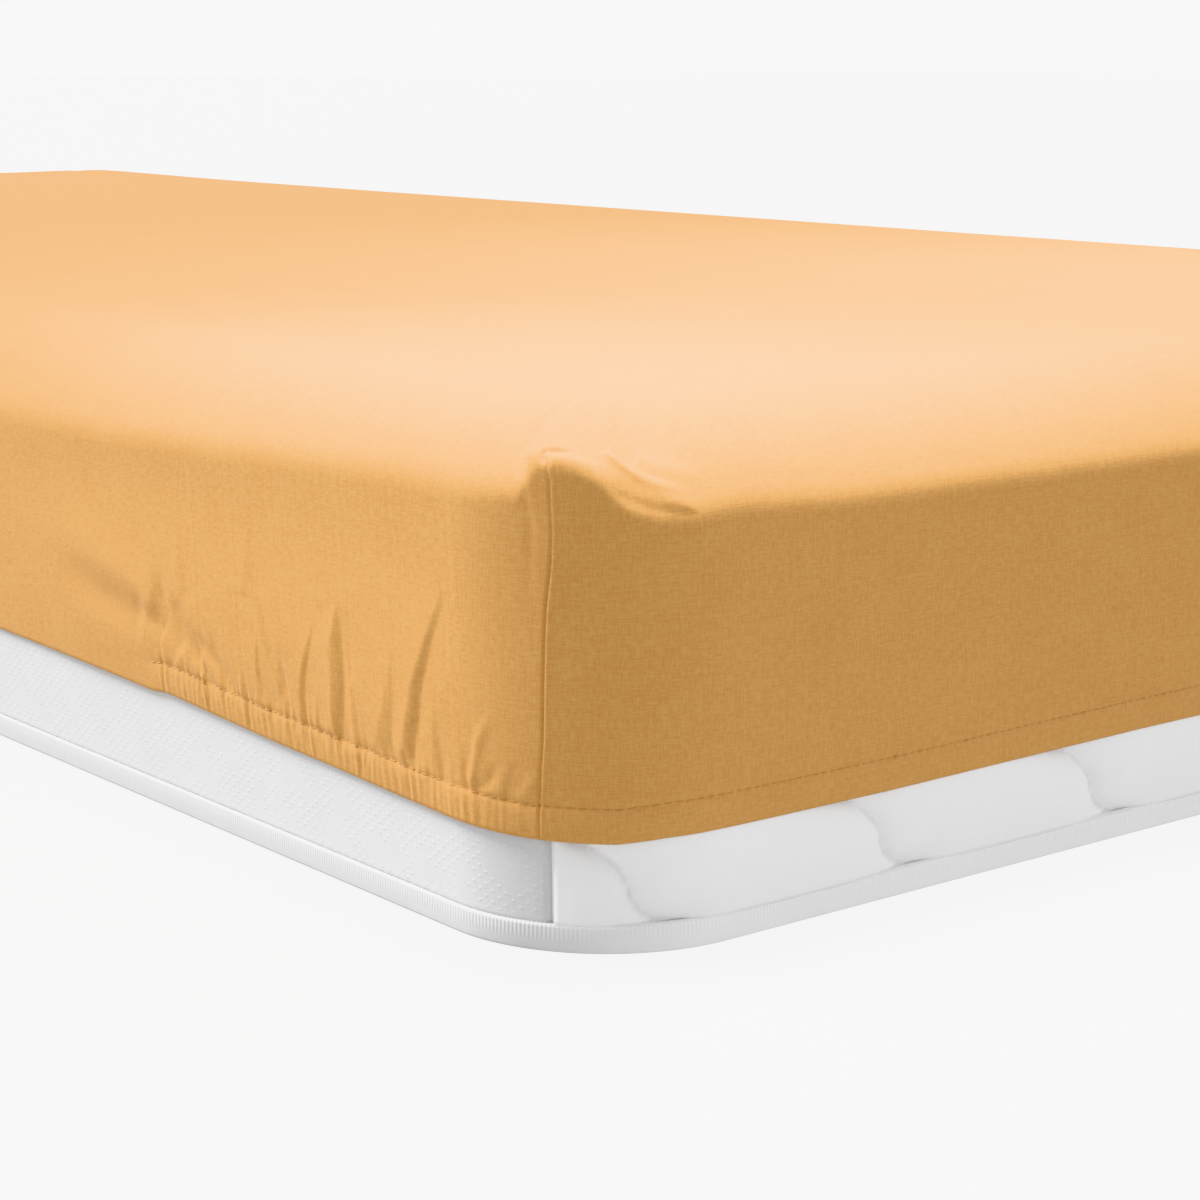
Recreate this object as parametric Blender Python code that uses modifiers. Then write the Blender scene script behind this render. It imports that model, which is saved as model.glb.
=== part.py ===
"""A fitted sheet stretched over a single mattress, with the mattress built plain inside it.

Metres, +Z up. The mattress stands on the floor at z = 0, with its middle on the Z axis and its
length along Y. The near corner is the one at -X, -Y: a long side runs from it along +Y, and the
foot end runs from it along +X.

Every surface here is the mattress's own skin, raised a little. A place on that skin is given by
two distances: "round" goes round the outline from the middle of the near corner, positive along
the foot end, and "up" goes up the side from the floor and on over the rounded top edge.
"""

import math

import bmesh
import bpy
from mathutils import Vector
from mathutils.geometry import delaunay_2d_cdt

# Mattress: a standard single size
WIDTH = 0.900
LENGTH = 2.000
HEIGHT = 0.200
CORNER_RADIUS = 0.072  # seen from above
EDGE_RADIUS = 0.050  # between a side and the top
CROWN = 0.006  # how much the middle of the top stands above its rim
BULGE = 0.003  # how much a side swells at half its height

# Tape that binds the bottom edge, and the rebate that it lies in
TAPE_HEIGHT = 0.0110
TAPE_THICKNESS = 0.0050
TAPE_PROUD = 0.0012
TAPE_FLOOR_GAP = 0.0004
TAPE_ROUNDING = 0.0014
FIT_GAP = 0.0003
BASE_INSET = 0.009  # the flat underside stops this far inside the outline

# Sheet
CLOTH = 0.0012
CLEAR_SIDE = 0.0022  # between the cloth and the mattress's sides and rounded edges
CLEAR_TOP = 0.0007  # between the cloth and the top that it lies on
TOP_BLEND = 0.060  # from one clearance to the other
HEM_CASING = 0.0135  # hem edge up to the stitch line
CASING_SWELL = 0.0008  # the elastic inside rounds the casing out
STITCH_DRAW = 0.0004  # the stitches draw the cloth in
SLACK = 0.0036  # how far the gathered cloth stands off the side on average
SLACK_FROM = 0.410  # gathers run from here, along the long side from the corner's middle
SLACK_TO = 0.045
SLACK_TOP = 0.125
SEAM_ROUND = -0.014  # the corner seam lies a little round towards the long side
SEAM_REACH = 0.012  # how far its ridge spreads
SEAM_BLUNT = 0.0015  # how rounded its crest is

# Hem height above the floor, from each corner's middle along the long side or the end panel
# (negative is the long side), in metres
HEM = (
    # round, height
    (-0.920, 0.060),
    (-0.500, 0.058),
    (-0.370, 0.055),
    (-0.290, 0.0535),
    (-0.188, 0.049),
    (-0.097, 0.0455),
    (-0.015, 0.045),
    (0.035, 0.045),
    (0.137, 0.046),
    (0.287, 0.048),
    (0.400, 0.048),
)

# How far the seam's ridge stands out, up the section
SEAM_RIDGE = (
    # up, rise
    (0.045, 0.0008),
    (0.110, 0.0018),
    (0.150, 0.0030),
    (0.180, 0.0036),
    (0.200, 0.0),
)

CREASE_FADES_FROM = 0.45  # along its length

# Creases of the near corner. Each runs from its foot to its head, and fades towards the head.
# A positive depth is a ridge with a trough at each side, and a negative one a trough
NEAR_CREASES = (
    # foot round, foot up, head round, head up, width, depth
    (-0.141, 0.056, -0.133, 0.122, 0.0054, -0.0032),
    (-0.089, 0.058, -0.080, 0.096, 0.0048, -0.0028),
    (-0.082, 0.090, -0.066, 0.130, 0.0050, -0.0026),
    (-0.159, 0.056, -0.162, 0.092, 0.0040, -0.0018),
    (-0.186, 0.060, -0.192, 0.102, 0.0048, -0.0020),
    (-0.112, 0.058, -0.098, 0.094, 0.0046, 0.0022),
    (-0.121, 0.060, -0.119, 0.082, 0.0042, -0.0014),
    (-0.048, 0.056, -0.037, 0.094, 0.0040, 0.0022),
    (-0.026, 0.056, -0.022, 0.078, 0.0040, 0.0014),
    (-0.216, 0.057, -0.253, 0.106, 0.0050, -0.0024),
    (-0.246, 0.064, -0.276, 0.102, 0.0050, -0.0016),
    (-0.262, 0.070, -0.330, 0.116, 0.0080, 0.0020),
    (-0.284, 0.074, -0.362, 0.104, 0.0080, -0.0016),
    (-0.018, 0.186, 0.006, 0.178, 0.0056, 0.0022),
    (0.008, 0.188, 0.040, 0.172, 0.0052, 0.0022),
)

# Creases of the three other corners, finished plainly
FAR_CREASES = (
    # foot round, foot up, head round, head up, width, depth
    (-0.072, 0.058, -0.064, 0.104, 0.0050, -0.0020),
    (-0.118, 0.058, -0.112, 0.118, 0.0052, -0.0026),
    (-0.166, 0.058, -0.172, 0.098, 0.0050, -0.0018),
    (-0.214, 0.058, -0.236, 0.106, 0.0052, -0.0022),
    (-0.262, 0.066, -0.300, 0.108, 0.0070, 0.0014),
)

# Soft bands across the top of the sheet, in X and Y
TOP_BANDS = (
    # from x, from y, to x, to y, width, depth
    (-0.330, -0.360, -0.250, -0.440, 0.026, 0.0014),
    (-0.370, -0.470, -0.270, -0.370, 0.018, 0.0010),
    (-0.150, -0.120, -0.030, -0.220, 0.030, 0.0016),
    (-0.390, -0.790, -0.330, -0.800, 0.016, 0.0008),
    (-0.320, -0.600, -0.270, -0.635, 0.018, 0.0008),
    (0.060, -0.560, 0.210, -0.700, 0.026, 0.0012),
    (0.250, 0.120, 0.360, 0.240, 0.028, 0.0012),
    (-0.240, 0.420, -0.100, 0.520, 0.030, 0.0014),
    (0.120, 0.620, 0.240, 0.780, 0.024, 0.0010),
)

# Spacing of the points. The sheet's are thinned out afterwards
SHEET_ARC_STEP = 0.0035
SHEET_GATHER_STEP = 0.0030
SHEET_PLAIN_STEP = 0.0400
SHEET_TOP_STEP = 0.0300
SHEET_ROW_STEP = 0.0120
SHEET_EDGE_STEP = 0.0075
MATTRESS_ARC_STEP = 0.0110
MATTRESS_PLAIN_STEP = 0.2000
MATTRESS_TOP_STEP = 0.1000
MATTRESS_ROW_STEP = 0.0230

# Rows of the sheet above its hem, closer together where the casing and the creases are
ROWS_ABOVE_HEM = (0.0, 0.003, 0.0068, 0.0105, HEM_CASING, 0.0165, 0.020, 0.025, 0.031, 0.038, 0.046, 0.055)
ROWS_LEVEL_FROM = 0.125  # up the section; the rows run level from here
RIM_INSET = 0.060  # the rings of a side stop here, and the top panel starts
SHEET_TRIANGLES = 5400  # on the open surface, before it has thickness

HALF_WIDTH = WIDTH / 2
HALF_LENGTH = LENGTH / 2
STRAIGHT = HEIGHT - EDGE_RADIUS
EDGE_ARC = EDGE_RADIUS * math.pi / 2
RIM_UP = STRAIGHT + EDGE_ARC + RIM_INSET - EDGE_RADIUS
CORNER_ARC = CORNER_RADIUS * math.pi / 2
END_RUN = WIDTH - 2 * CORNER_RADIUS
LONG_RUN = LENGTH - 2 * CORNER_RADIUS
PERIMETER = 4 * CORNER_ARC + 2 * END_RUN + 2 * LONG_RUN
CORNERS = (
    0.0,
    CORNER_ARC + END_RUN,
    2 * CORNER_ARC + END_RUN + LONG_RUN,
    3 * CORNER_ARC + 2 * END_RUN + LONG_RUN,
)


def clear_scene():
    for obj in list(bpy.data.objects):
        bpy.data.objects.remove(obj)


def smooth(low, high, value):
    """0 below low, 1 above high, and an even slope between; high below low turns it round"""
    x = min(max((value - low) / (high - low), 0.0), 1.0)
    return x * x * (3 - 2 * x)


def read_table(table, value):
    """Second column of a two-column table at this value of its first, held at both ends"""
    if value <= table[0][0]:
        return table[0][1]
    for (low, first), (high, second) in zip(table, table[1:]):
        if value <= high:
            return first + (second - first) * (value - low) / (high - low)
    return table[-1][1]


def outline_at(round_by):
    """Point and outward normal of the mattress's outline, seen from above"""
    left = (round_by + CORNER_ARC / 2) % PERIMETER
    for corner in range(4):
        side_x = (-1, 1, 1, -1)[corner]
        side_y = (-1, -1, 1, 1)[corner]
        centre = Vector((side_x * (HALF_WIDTH - CORNER_RADIUS), side_y * (HALF_LENGTH - CORNER_RADIUS)))
        start = math.pi + corner * math.pi / 2
        if left < CORNER_ARC:
            angle = start + left / CORNER_RADIUS
            normal = Vector((math.cos(angle), math.sin(angle)))
            return centre + normal * CORNER_RADIUS, normal
        left -= CORNER_ARC
        run = (END_RUN, LONG_RUN)[corner % 2]
        normal = Vector((math.cos(start + math.pi / 2), math.sin(start + math.pi / 2)))
        if left < run:
            along = Vector((-normal.y, normal.x))
            return centre + normal * CORNER_RADIUS + along * left, normal
        left -= run
    return outline_at(0.0)


def section_at(up):
    """Inset from the outline, height, and how far the skin's normal has turned upwards"""
    if up <= STRAIGHT:
        return -BULGE * math.sin(math.pi * max(up, 0.0) / STRAIGHT) ** 2, up, 0.0
    turn = min((up - STRAIGHT) / EDGE_RADIUS, math.pi / 2)
    beyond = max(up - STRAIGHT - EDGE_ARC, 0.0)
    inset = EDGE_RADIUS * (1 - math.cos(turn)) + beyond
    return inset, STRAIGHT + EDGE_RADIUS * math.sin(turn), turn


def crown_at(x, y):
    across = max(1 - (x / (HALF_WIDTH - EDGE_RADIUS)) ** 2, 0.0)
    along = max(1 - (y / (HALF_LENGTH - EDGE_RADIUS)) ** 2, 0.0)
    return CROWN * across * along


def skin_at(round_by, up, lift):
    """A point this far off the mattress's skin"""
    edge, normal = outline_at(round_by)
    inset, height, turn = section_at(up)
    flat = edge + normal * (lift * math.cos(turn) - inset)
    return Vector((flat.x, flat.y, height + lift * math.sin(turn) + crown_at(flat.x, flat.y)))


def nearest_corner(round_by):
    """The nearest corner's number, and the distance from it, negative along its long side"""
    best = None
    for corner, middle in enumerate(CORNERS):
        away = (round_by - middle + PERIMETER / 2) % PERIMETER - PERIMETER / 2
        if best is None or abs(away) < abs(best[1]):
            best = (corner, away)
    corner, away = best
    return corner, -away if corner % 2 else away


def crease(x, y, from_x, from_y, to_x, to_y, width, depth):
    """Height at a place of one crease: a ridge or trough with a shoulder at each side"""
    run_x = to_x - from_x
    run_y = to_y - from_y
    along = ((x - from_x) * run_x + (y - from_y) * run_y) / (run_x**2 + run_y**2)
    held = min(max(along, 0.0), 1.0)
    away = math.hypot(x - from_x - held * run_x, y - from_y - held * run_y) / width
    if away > 5:
        return 0.0
    fade = 1 - smooth(CREASE_FADES_FROM, 1.0, held)
    return depth * fade * (1 - away**2) * math.exp(-(away**2) / 2)


def hem_at(away):
    return read_table(HEM, away)


def sheet_lift(round_by, up):
    """How far the sheet stands off the skin on a side or a rounded edge"""
    corner, away = nearest_corner(round_by)
    hem = hem_at(away)
    stitches = hem + HEM_CASING
    slack = smooth(SLACK_FROM, SLACK_FROM - 0.08, -away) * smooth(SLACK_TO, SLACK_TO + 0.04, -away)
    lift = CLEAR_SIDE + SLACK * slack * smooth(SLACK_TOP, 0.08, up) * smooth(hem, stitches, up)
    for row in NEAR_CREASES if corner == 0 else FAR_CREASES:
        lift += crease(away, up, *row) * smooth(hem + 0.004, stitches + 0.004, up)
    lift += CASING_SWELL * math.sin(math.pi * min((up - hem) / HEM_CASING, 1.0))
    lift -= STITCH_DRAW * math.exp(-(((up - stitches) / 0.002) ** 2))
    ridge = read_table(SEAM_RIDGE, up)
    lift += ridge * math.exp(-math.hypot(away - SEAM_ROUND, SEAM_BLUNT) / SEAM_REACH)
    return lift


def top_lift(x, y):
    """How far the sheet stands off the skin on the top"""
    inset = min(HALF_WIDTH - abs(x), HALF_LENGTH - abs(y)) - EDGE_RADIUS
    lift = CLEAR_SIDE + (CLEAR_TOP - CLEAR_SIDE) * smooth(0.0, TOP_BLEND, inset)
    for row in TOP_BANDS:
        lift += max(crease(x, y, *row), 0.0) * smooth(0.0, 0.03, inset)
    return lift


def steps(low, high, step):
    """Even places from low up to but not including high"""
    count = max(round((high - low) / step), 1)
    return [low + (high - low) * i / count for i in range(count)]


def columns(arc_step, gather_step, plain_step):
    """Places round the outline, by the spacing on its arcs, on the gathers and elsewhere"""
    places = []
    for corner, middle in enumerate(CORNERS):
        half_arc = CORNER_ARC / 2
        if corner % 2 == 0:
            before = steps(middle - SLACK_FROM, middle - half_arc, gather_step)
            after = steps(middle + half_arc, middle + half_arc + END_RUN, plain_step)
        else:
            before = []
            after = steps(middle + half_arc, middle + SLACK_FROM, gather_step)
            far = middle + half_arc + LONG_RUN - (SLACK_FROM - half_arc)
            after += steps(middle + SLACK_FROM, far, plain_step)
        places += before + steps(middle - half_arc, middle + half_arc, arc_step) + after
    return places


def join_rings(bm, rings):
    """A wall of quads between closed rings of as many points each"""
    for lower, upper in zip(rings, rings[1:]):
        for i, corner in enumerate(lower):
            after = (i + 1) % len(lower)
            bm.faces.new((corner, lower[after], upper[after], upper[i]))


def close_top(bm, rim, step, height_at):
    """Fills the last ring with a net of points that lie at the given height"""
    corners = [Vector((vert.co.x, vert.co.y)) for vert in rim]
    inside = []
    for x in steps(-HALF_WIDTH + RIM_INSET + step, HALF_WIDTH - RIM_INSET, step):
        for y in steps(-HALF_LENGTH + RIM_INSET + step, HALF_LENGTH - RIM_INSET, step):
            inside.append(Vector((x, y)))
    edges = [(i, (i + 1) % len(rim)) for i in range(len(rim))]
    points, _, faces, *_ = delaunay_2d_cdt(corners + inside, edges, [], 1, 1e-6)
    net = list(rim)
    for point in points[len(rim) :]:
        net.append(bm.verts.new((point.x, point.y, height_at(point.x, point.y))))
    for face in faces:
        bm.faces.new([net[i] for i in face])


def add_object(name, bm, material, collection):
    mesh = bpy.data.meshes.new(name)
    bm.to_mesh(mesh)
    bm.free()
    mesh.shade_smooth()
    obj = bpy.data.objects.new(name, mesh)
    obj.data.materials.append(material)
    collection.objects.link(obj)
    return obj


def thin_out(obj, triangles):
    """Leaves about this many triangles, most of them where the surface bends"""
    thinner = obj.modifiers.new("thin_out", "DECIMATE")
    thinner.ratio = triangles / sum(len(face.vertices) - 2 for face in obj.data.polygons)
    thinner.use_collapse_triangulate = True


def new_material(name, colour, roughness):
    material = bpy.data.materials.new(name)
    material.use_nodes = True
    shader = material.node_tree.nodes["Principled BSDF"]
    shader.inputs["Base Color"].default_value = (*colour, 1.0)
    shader.inputs["Roughness"].default_value = roughness
    shader.inputs["Metallic"].default_value = 0.0
    return material


def mattress_columns():
    return columns(MATTRESS_ARC_STEP, MATTRESS_PLAIN_STEP, MATTRESS_PLAIN_STEP)


def make_mattress(collection):
    """One filled solid: flat underside, rebate for the tape, swelling sides, soft edge and crown"""
    bm = bmesh.new()
    places = mattress_columns()
    rebate = TAPE_THICKNESS - TAPE_PROUD + FIT_GAP
    foot = TAPE_HEIGHT + TAPE_FLOOR_GAP + FIT_GAP
    rings = []
    softened = ((BASE_INSET, 0.0), (rebate + 0.001, 0.001), (rebate, 0.003))
    for inset, height in softened + ((rebate, foot),):
        ring = []
        for place in places:
            edge, normal = outline_at(place)
            ring.append(bm.verts.new((*(edge - normal * inset), height)))
        rings.append(ring)
    side = [foot] + steps(foot + 0.002, STRAIGHT, MATTRESS_ROW_STEP)
    edge_rows = steps(STRAIGHT, STRAIGHT + EDGE_ARC, MATTRESS_ARC_STEP)
    for up in side + edge_rows + [STRAIGHT + EDGE_ARC, RIM_UP]:
        rings.append([bm.verts.new(skin_at(place, up, 0.0)) for place in places])
    join_rings(bm, rings)
    bm.faces.new(list(reversed(rings[0])))
    close_top(bm, rings[-1], MATTRESS_TOP_STEP, lambda x, y: HEIGHT + crown_at(x, y))
    cover = new_material("mattress_cover", (0.80, 0.80, 0.80), 0.9)
    return add_object("mattress", bm, cover, collection)


def make_tape(collection):
    """The binding round the bottom edge: a band of the outline, with thickness and soft edges"""
    bm = bmesh.new()
    ring = []
    for place in mattress_columns():
        edge, normal = outline_at(place)
        ring.append(bm.verts.new((*(edge + normal * TAPE_PROUD), TAPE_FLOOR_GAP)))
    edges = [bm.edges.new((vert, ring[i - 1])) for i, vert in enumerate(ring)]
    raised = bmesh.ops.extrude_edge_only(bm, edges=edges)
    upper = [item for item in raised["geom"] if isinstance(item, bmesh.types.BMVert)]
    bmesh.ops.translate(bm, verts=upper, vec=(0.0, 0.0, TAPE_HEIGHT))
    bmesh.ops.recalc_face_normals(bm, faces=bm.faces)
    binding = new_material("mattress_tape", (0.78, 0.78, 0.78), 0.85)
    tape = add_object("mattress_tape", bm, binding, collection)
    body = tape.modifiers.new("thickness", "SOLIDIFY")
    body.thickness = TAPE_THICKNESS
    body.offset = -1.0
    soft = tape.modifiers.new("soft_edges", "BEVEL")
    soft.width = TAPE_ROUNDING
    soft.segments = 1
    soft.limit_method = "ANGLE"
    soft.angle_limit = math.radians(50)
    return tape


def make_sheet(collection):
    """One thin shell: top panel, sides, gathered and smooth hem, corner seams"""
    bm = bmesh.new()
    places = columns(SHEET_ARC_STEP, SHEET_GATHER_STEP, SHEET_PLAIN_STEP)
    rings = []
    for above in ROWS_ABOVE_HEM:
        ups = [hem_at(nearest_corner(place)[1]) + above for place in places]
        rings.append([bm.verts.new(skin_at(p, up, sheet_lift(p, up))) for p, up in zip(places, ups)])
    level = steps(ROWS_LEVEL_FROM, STRAIGHT, SHEET_ROW_STEP)
    for up in level + steps(STRAIGHT, STRAIGHT + EDGE_ARC, SHEET_EDGE_STEP):
        rings.append([bm.verts.new(skin_at(p, up, sheet_lift(p, up))) for p in places])
    for up in (STRAIGHT + EDGE_ARC, RIM_UP):
        ring = []
        for place in places:
            rest = skin_at(place, up, 0.0)
            ring.append(bm.verts.new(skin_at(place, up, top_lift(rest.x, rest.y))))
        rings.append(ring)
    join_rings(bm, rings)
    close_top(bm, rings[-1], SHEET_TOP_STEP, lambda x, y: HEIGHT + crown_at(x, y) + top_lift(x, y))
    cotton = new_material("sheet_cotton", (0.80, 0.46, 0.16), 0.85)
    sheet = add_object("fitted_sheet", bm, cotton, collection)
    thin_out(sheet, SHEET_TRIANGLES)
    body = sheet.modifiers.new("thickness", "SOLIDIFY")
    body.thickness = CLOTH
    body.offset = 1.0
    return sheet


def main():
    clear_scene()
    collection = bpy.data.collections.new("fitted_sheet_on_mattress")
    bpy.context.scene.collection.children.link(collection)
    make_mattress(collection)
    make_tape(collection)
    make_sheet(collection)


main()
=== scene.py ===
# %% [markdown]
# # A fitted sheet on a single mattress
#
# A fitted sheet is one length of plain-woven cotton. Its four sides hang from the top panel, each
# corner is closed by one upright seam, and the hem is turned up as a casing with elastic in it. The
# elastic pulls the hem under tension, so the cloth is smooth on top and gathered low on the sides.
#
# The mattress that carries it shows only below the hem: a knitted cover along the side, a quilted
# panel across the foot end, and a tape that binds the bottom edge.
#
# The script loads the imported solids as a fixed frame, in metres, with +Z up. The mattress stands
# at z = 0 with its length along Y. Each solid is then replaced by a detailed piece in its place.

# %% Load the frame
import math

import bpy
import numpy as np
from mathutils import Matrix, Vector
from mathutils.geometry import delaunay_2d_cdt


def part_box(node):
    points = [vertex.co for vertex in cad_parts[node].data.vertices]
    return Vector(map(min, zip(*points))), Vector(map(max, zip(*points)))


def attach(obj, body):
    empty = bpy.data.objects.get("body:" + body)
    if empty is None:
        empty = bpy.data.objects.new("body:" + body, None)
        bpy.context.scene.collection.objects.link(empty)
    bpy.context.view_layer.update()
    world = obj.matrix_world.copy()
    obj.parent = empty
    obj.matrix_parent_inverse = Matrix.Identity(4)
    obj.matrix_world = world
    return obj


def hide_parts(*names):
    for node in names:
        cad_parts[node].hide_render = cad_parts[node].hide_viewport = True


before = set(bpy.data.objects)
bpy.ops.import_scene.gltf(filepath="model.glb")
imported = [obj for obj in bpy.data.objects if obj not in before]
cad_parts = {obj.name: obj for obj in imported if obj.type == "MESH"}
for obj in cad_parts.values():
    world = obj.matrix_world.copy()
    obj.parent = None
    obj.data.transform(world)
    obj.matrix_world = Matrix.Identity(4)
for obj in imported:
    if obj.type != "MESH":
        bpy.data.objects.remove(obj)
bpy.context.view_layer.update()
for name in sorted(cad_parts):
    low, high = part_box(name)
    print(name, [round(side * 1000, 1) for side in high - low], "mm")

# %% [markdown]
# ## The camera
#
# The two lower edges of the mattress meet at the near corner and run off to two vanishing points.
# Those fix the camera: it stands low, turned 38.5 degrees to the length, and looks a little down.
# A long lens keeps the edges nearly straight. The neutral view keeps the cotton's colours as they
# are mixed and only pales what is brightly lit, as the top is. A filmic one would grey them all.

# %% Camera
CAMERA_PLACE = (-1.0238, -1.7358, 0.330)
CAMERA_DOWN = 11.464  # degrees below the horizon
CAMERA_TURN = -38.5  # degrees from looking along +Y

scene = bpy.context.scene
scene.view_settings.view_transform = "Khronos PBR Neutral"
camera_turn = (math.radians(90 - CAMERA_DOWN), 0.0, math.radians(CAMERA_TURN))
bpy.ops.object.camera_add(location=CAMERA_PLACE, rotation=camera_turn)
camera = bpy.context.object
camera.name = "camera"
camera.data.sensor_width = 36.0
camera.data.lens = 81.36
scene.camera = camera
print("camera", camera.data.lens, "mm lens")

# %% [markdown]
# ## Floor and light
#
# Sky and floor light everything evenly. The wide lamp comes over the far left, lights the top and
# rakes along the long side, so that its folds show, and leaves the foot end in shade, which is what
# shows the corner. A weak lamp from the right brings out the foot end's quilting. Two spots hang
# over the foot end and make the top brightest there. Sky and floor are paler to the camera than to
# the object: a floor as bright as it looks would fill every fold from below.

# %% Small helpers for materials
def node_of(tree, kind, values=None, **settings):
    """Adds a node, sets its properties, and sets the sockets that are named or numbered"""
    node = tree.nodes.new(kind)
    for name, value in settings.items():
        setattr(node, name, value)
    for name, value in (values or {}).items():
        node.inputs[name].default_value = value
    return node


def math_of(tree, operation, *values):
    """A Math node. Each value is a number or another node's output"""
    node = node_of(tree, "ShaderNodeMath", operation=operation)
    for socket, value in zip(node.inputs, values):
        if isinstance(value, bpy.types.NodeSocket):
            tree.links.new(value, socket)
        else:
            socket.default_value = value
    return node.outputs[0]


def paler_to_camera(tree, strength, more, socket):
    """A strength, and some more of it where the camera sees it straight"""
    pictured = node_of(tree, "ShaderNodeLightPath").outputs["Is Camera Ray"]
    tree.links.new(math_of(tree, "MULTIPLY_ADD", pictured, more, strength), socket)


def new_material(name, colour, roughness, sheen=0.0):
    """A material, its node tree and its Principled shader"""
    material = bpy.data.materials.new(name)
    material.use_nodes = True
    tree = material.node_tree
    shader = tree.nodes["Principled BSDF"]
    shader.inputs["Base Color"].default_value = (*colour, 1.0)
    shader.inputs["Roughness"].default_value = roughness
    shader.inputs["Sheen Weight"].default_value = sheen
    return material, tree, shader


# %% Floor
FLOOR_SIZE = 60.0
FLOOR_COLOUR = (0.06, 0.06, 0.06)
FLOOR_GLOW = 0.60  # what it sends up to the object
FLOOR_PALENESS = 0.55  # what it has besides in the picture

bpy.ops.object.select_all(action="DESELECT")
bpy.ops.mesh.primitive_plane_add(size=FLOOR_SIZE, location=(0.0, 0.0, 0.0))
floor = bpy.context.object
floor.name = "floor"
pale, pale_tree, pale_shader = new_material("pale_floor", FLOOR_COLOUR, 0.75)
pale_shader.inputs["Emission Color"].default_value = (1.0, 1.0, 1.0, 1.0)
paler_to_camera(pale_tree, FLOOR_GLOW, FLOOR_PALENESS, pale_shader.inputs["Emission Strength"])
floor.data.materials.append(pale)
print("floor", FLOOR_SIZE, "m")

# %% Sky
SKY = 0.70  # what the sky lights with
SKY_PALENESS = 0.85  # what it has besides in the picture

world = bpy.data.worlds.new("studio")
world.use_nodes = True
sky = world.node_tree.nodes["Background"]
sky.inputs["Color"].default_value = (1.0, 1.0, 1.0, 1.0)
paler_to_camera(world.node_tree, SKY, SKY_PALENESS, sky.inputs["Strength"])
scene.world = world

# %% Lamps
SUNS = (
    # name, the way to it, energy, how wide it looks in degrees
    ("wide_lamp", Vector((-0.33, 0.486, 0.809)), 4.75, 28),
    ("end_lamp", Vector((0.75, -0.60, 0.28)), 0.45, 40),
)
SPOTS = (
    # name, place, what it points at, watts, width of its cone in degrees
    ("near_lamp", Vector((-0.30, -0.83, 1.0)), Vector((-0.45, -0.94, 0.20)), 92.0, 66),
    ("foot_lamp", Vector((0.30, -0.80, 1.05)), Vector((0.18, -0.86, 0.20)), 85.0, 100),
)
SUN_AWAY = 4.0  # only to be out of the way: a sun lights the same from anywhere
SPOT_RADIUS = 0.15  # softens the edges of its shadows


def add_lamp(kind, name, place, towards, energy):
    bpy.ops.object.light_add(type=kind, location=place)
    lamp = bpy.context.object
    lamp.name = name
    lamp.data.energy = energy
    lamp.rotation_euler = (-towards).to_track_quat("-Z", "Y").to_euler()
    print(name, [round(x, 2) for x in place])
    return lamp.data


for name, way, energy, width in SUNS:
    sun = add_lamp("SUN", name, way * SUN_AWAY, way, energy)
    sun.angle = math.radians(width)
for name, place, aim, watts, cone in SPOTS:
    spot = add_lamp("SPOT", name, place, place - aim, watts)
    spot.spot_size = math.radians(cone)
    spot.spot_blend = 1.0
    spot.shadow_soft_size = SPOT_RADIUS

# %% [markdown]
# ## The mattress's skin
#
# Everything here hugs the mattress, so a place is given in the terms a maker would use: how far
# "round" the outline from the near corner's middle, and how far "up" from the floor, on over the
# rounded top edge. One function turns those two distances, and a lift off the skin, into a point.
# The alternative is to model a box and push its points about, but then a seam, a hem and a fold
# that are measured along the cloth are hard to put in their places.

# %% Sizes of the mattress, in metres
HALF_WIDTH = 0.450
HALF_LENGTH = 1.000
HEIGHT = 0.200
CORNER_RADIUS = 0.072  # seen from above
EDGE_RADIUS = 0.050  # between a side and the top
CROWN = 0.006  # how much the middle of the top stands above its rim
BULGE = 0.0018  # how much a side swells at half its height
RIM_INSET = 0.060  # the sides' rings stop here, and the top's net starts
# The edge's section: how far up it starts, and the radius and angle of its first, firm turn
PLAIN_BEND = (0.155, 0.0215, math.radians(32))

STRAIGHT = HEIGHT - EDGE_RADIUS
EDGE_ARC = EDGE_RADIUS * math.pi / 2
RIM_UP = STRAIGHT + EDGE_ARC + RIM_INSET - EDGE_RADIUS
CORNER_ARC = CORNER_RADIUS * math.pi / 2
END_RUN = 2 * (HALF_WIDTH - CORNER_RADIUS)
LONG_RUN = 2 * (HALF_LENGTH - CORNER_RADIUS)
PERIMETER = 4 * CORNER_ARC + 2 * END_RUN + 2 * LONG_RUN
CORNERS = np.cumsum((0.0, CORNER_ARC + END_RUN, CORNER_ARC + LONG_RUN, CORNER_ARC + END_RUN))
CENTRES = np.array(((-1, -1), (1, -1), (1, 1), (-1, 1))) * (
    HALF_WIDTH - CORNER_RADIUS,
    HALF_LENGTH - CORNER_RADIUS,
)
print("round the mattress", round(PERIMETER, 3), "m")


# %% Points on the skin
def smooth(low, high, value):
    """0 below low, 1 above high, and an even slope between; high below low turns it round"""
    x = np.clip((value - low) / (high - low), 0.0, 1.0)
    return x * x * (3 - 2 * x)


def hump(off, width):
    """1 in the middle, and fading away on both sides"""
    return np.exp(-((off / width) ** 2))


def outline_at(round_by):
    """Points and outward directions of the outline, seen from above"""
    left = np.mod(round_by + CORNER_ARC / 2, PERIMETER)
    points = np.zeros(left.shape + (2,))
    outward = np.zeros(left.shape + (2,))
    for corner, middle in enumerate(CORNERS):
        past = left - middle
        here = past >= 0
        turned = np.clip(past[here], 0, CORNER_ARC) / CORNER_RADIUS
        angle = math.pi * (1 + corner / 2) + turned
        out = np.stack((np.cos(angle), np.sin(angle)), -1)
        along = np.stack((-out[:, 1], out[:, 0]), -1)
        straight = np.maximum(past[here] - CORNER_ARC, 0)[:, None]
        points[here] = CENTRES[corner] + out * CORNER_RADIUS + along * straight
        outward[here] = out
    return points, outward


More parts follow.
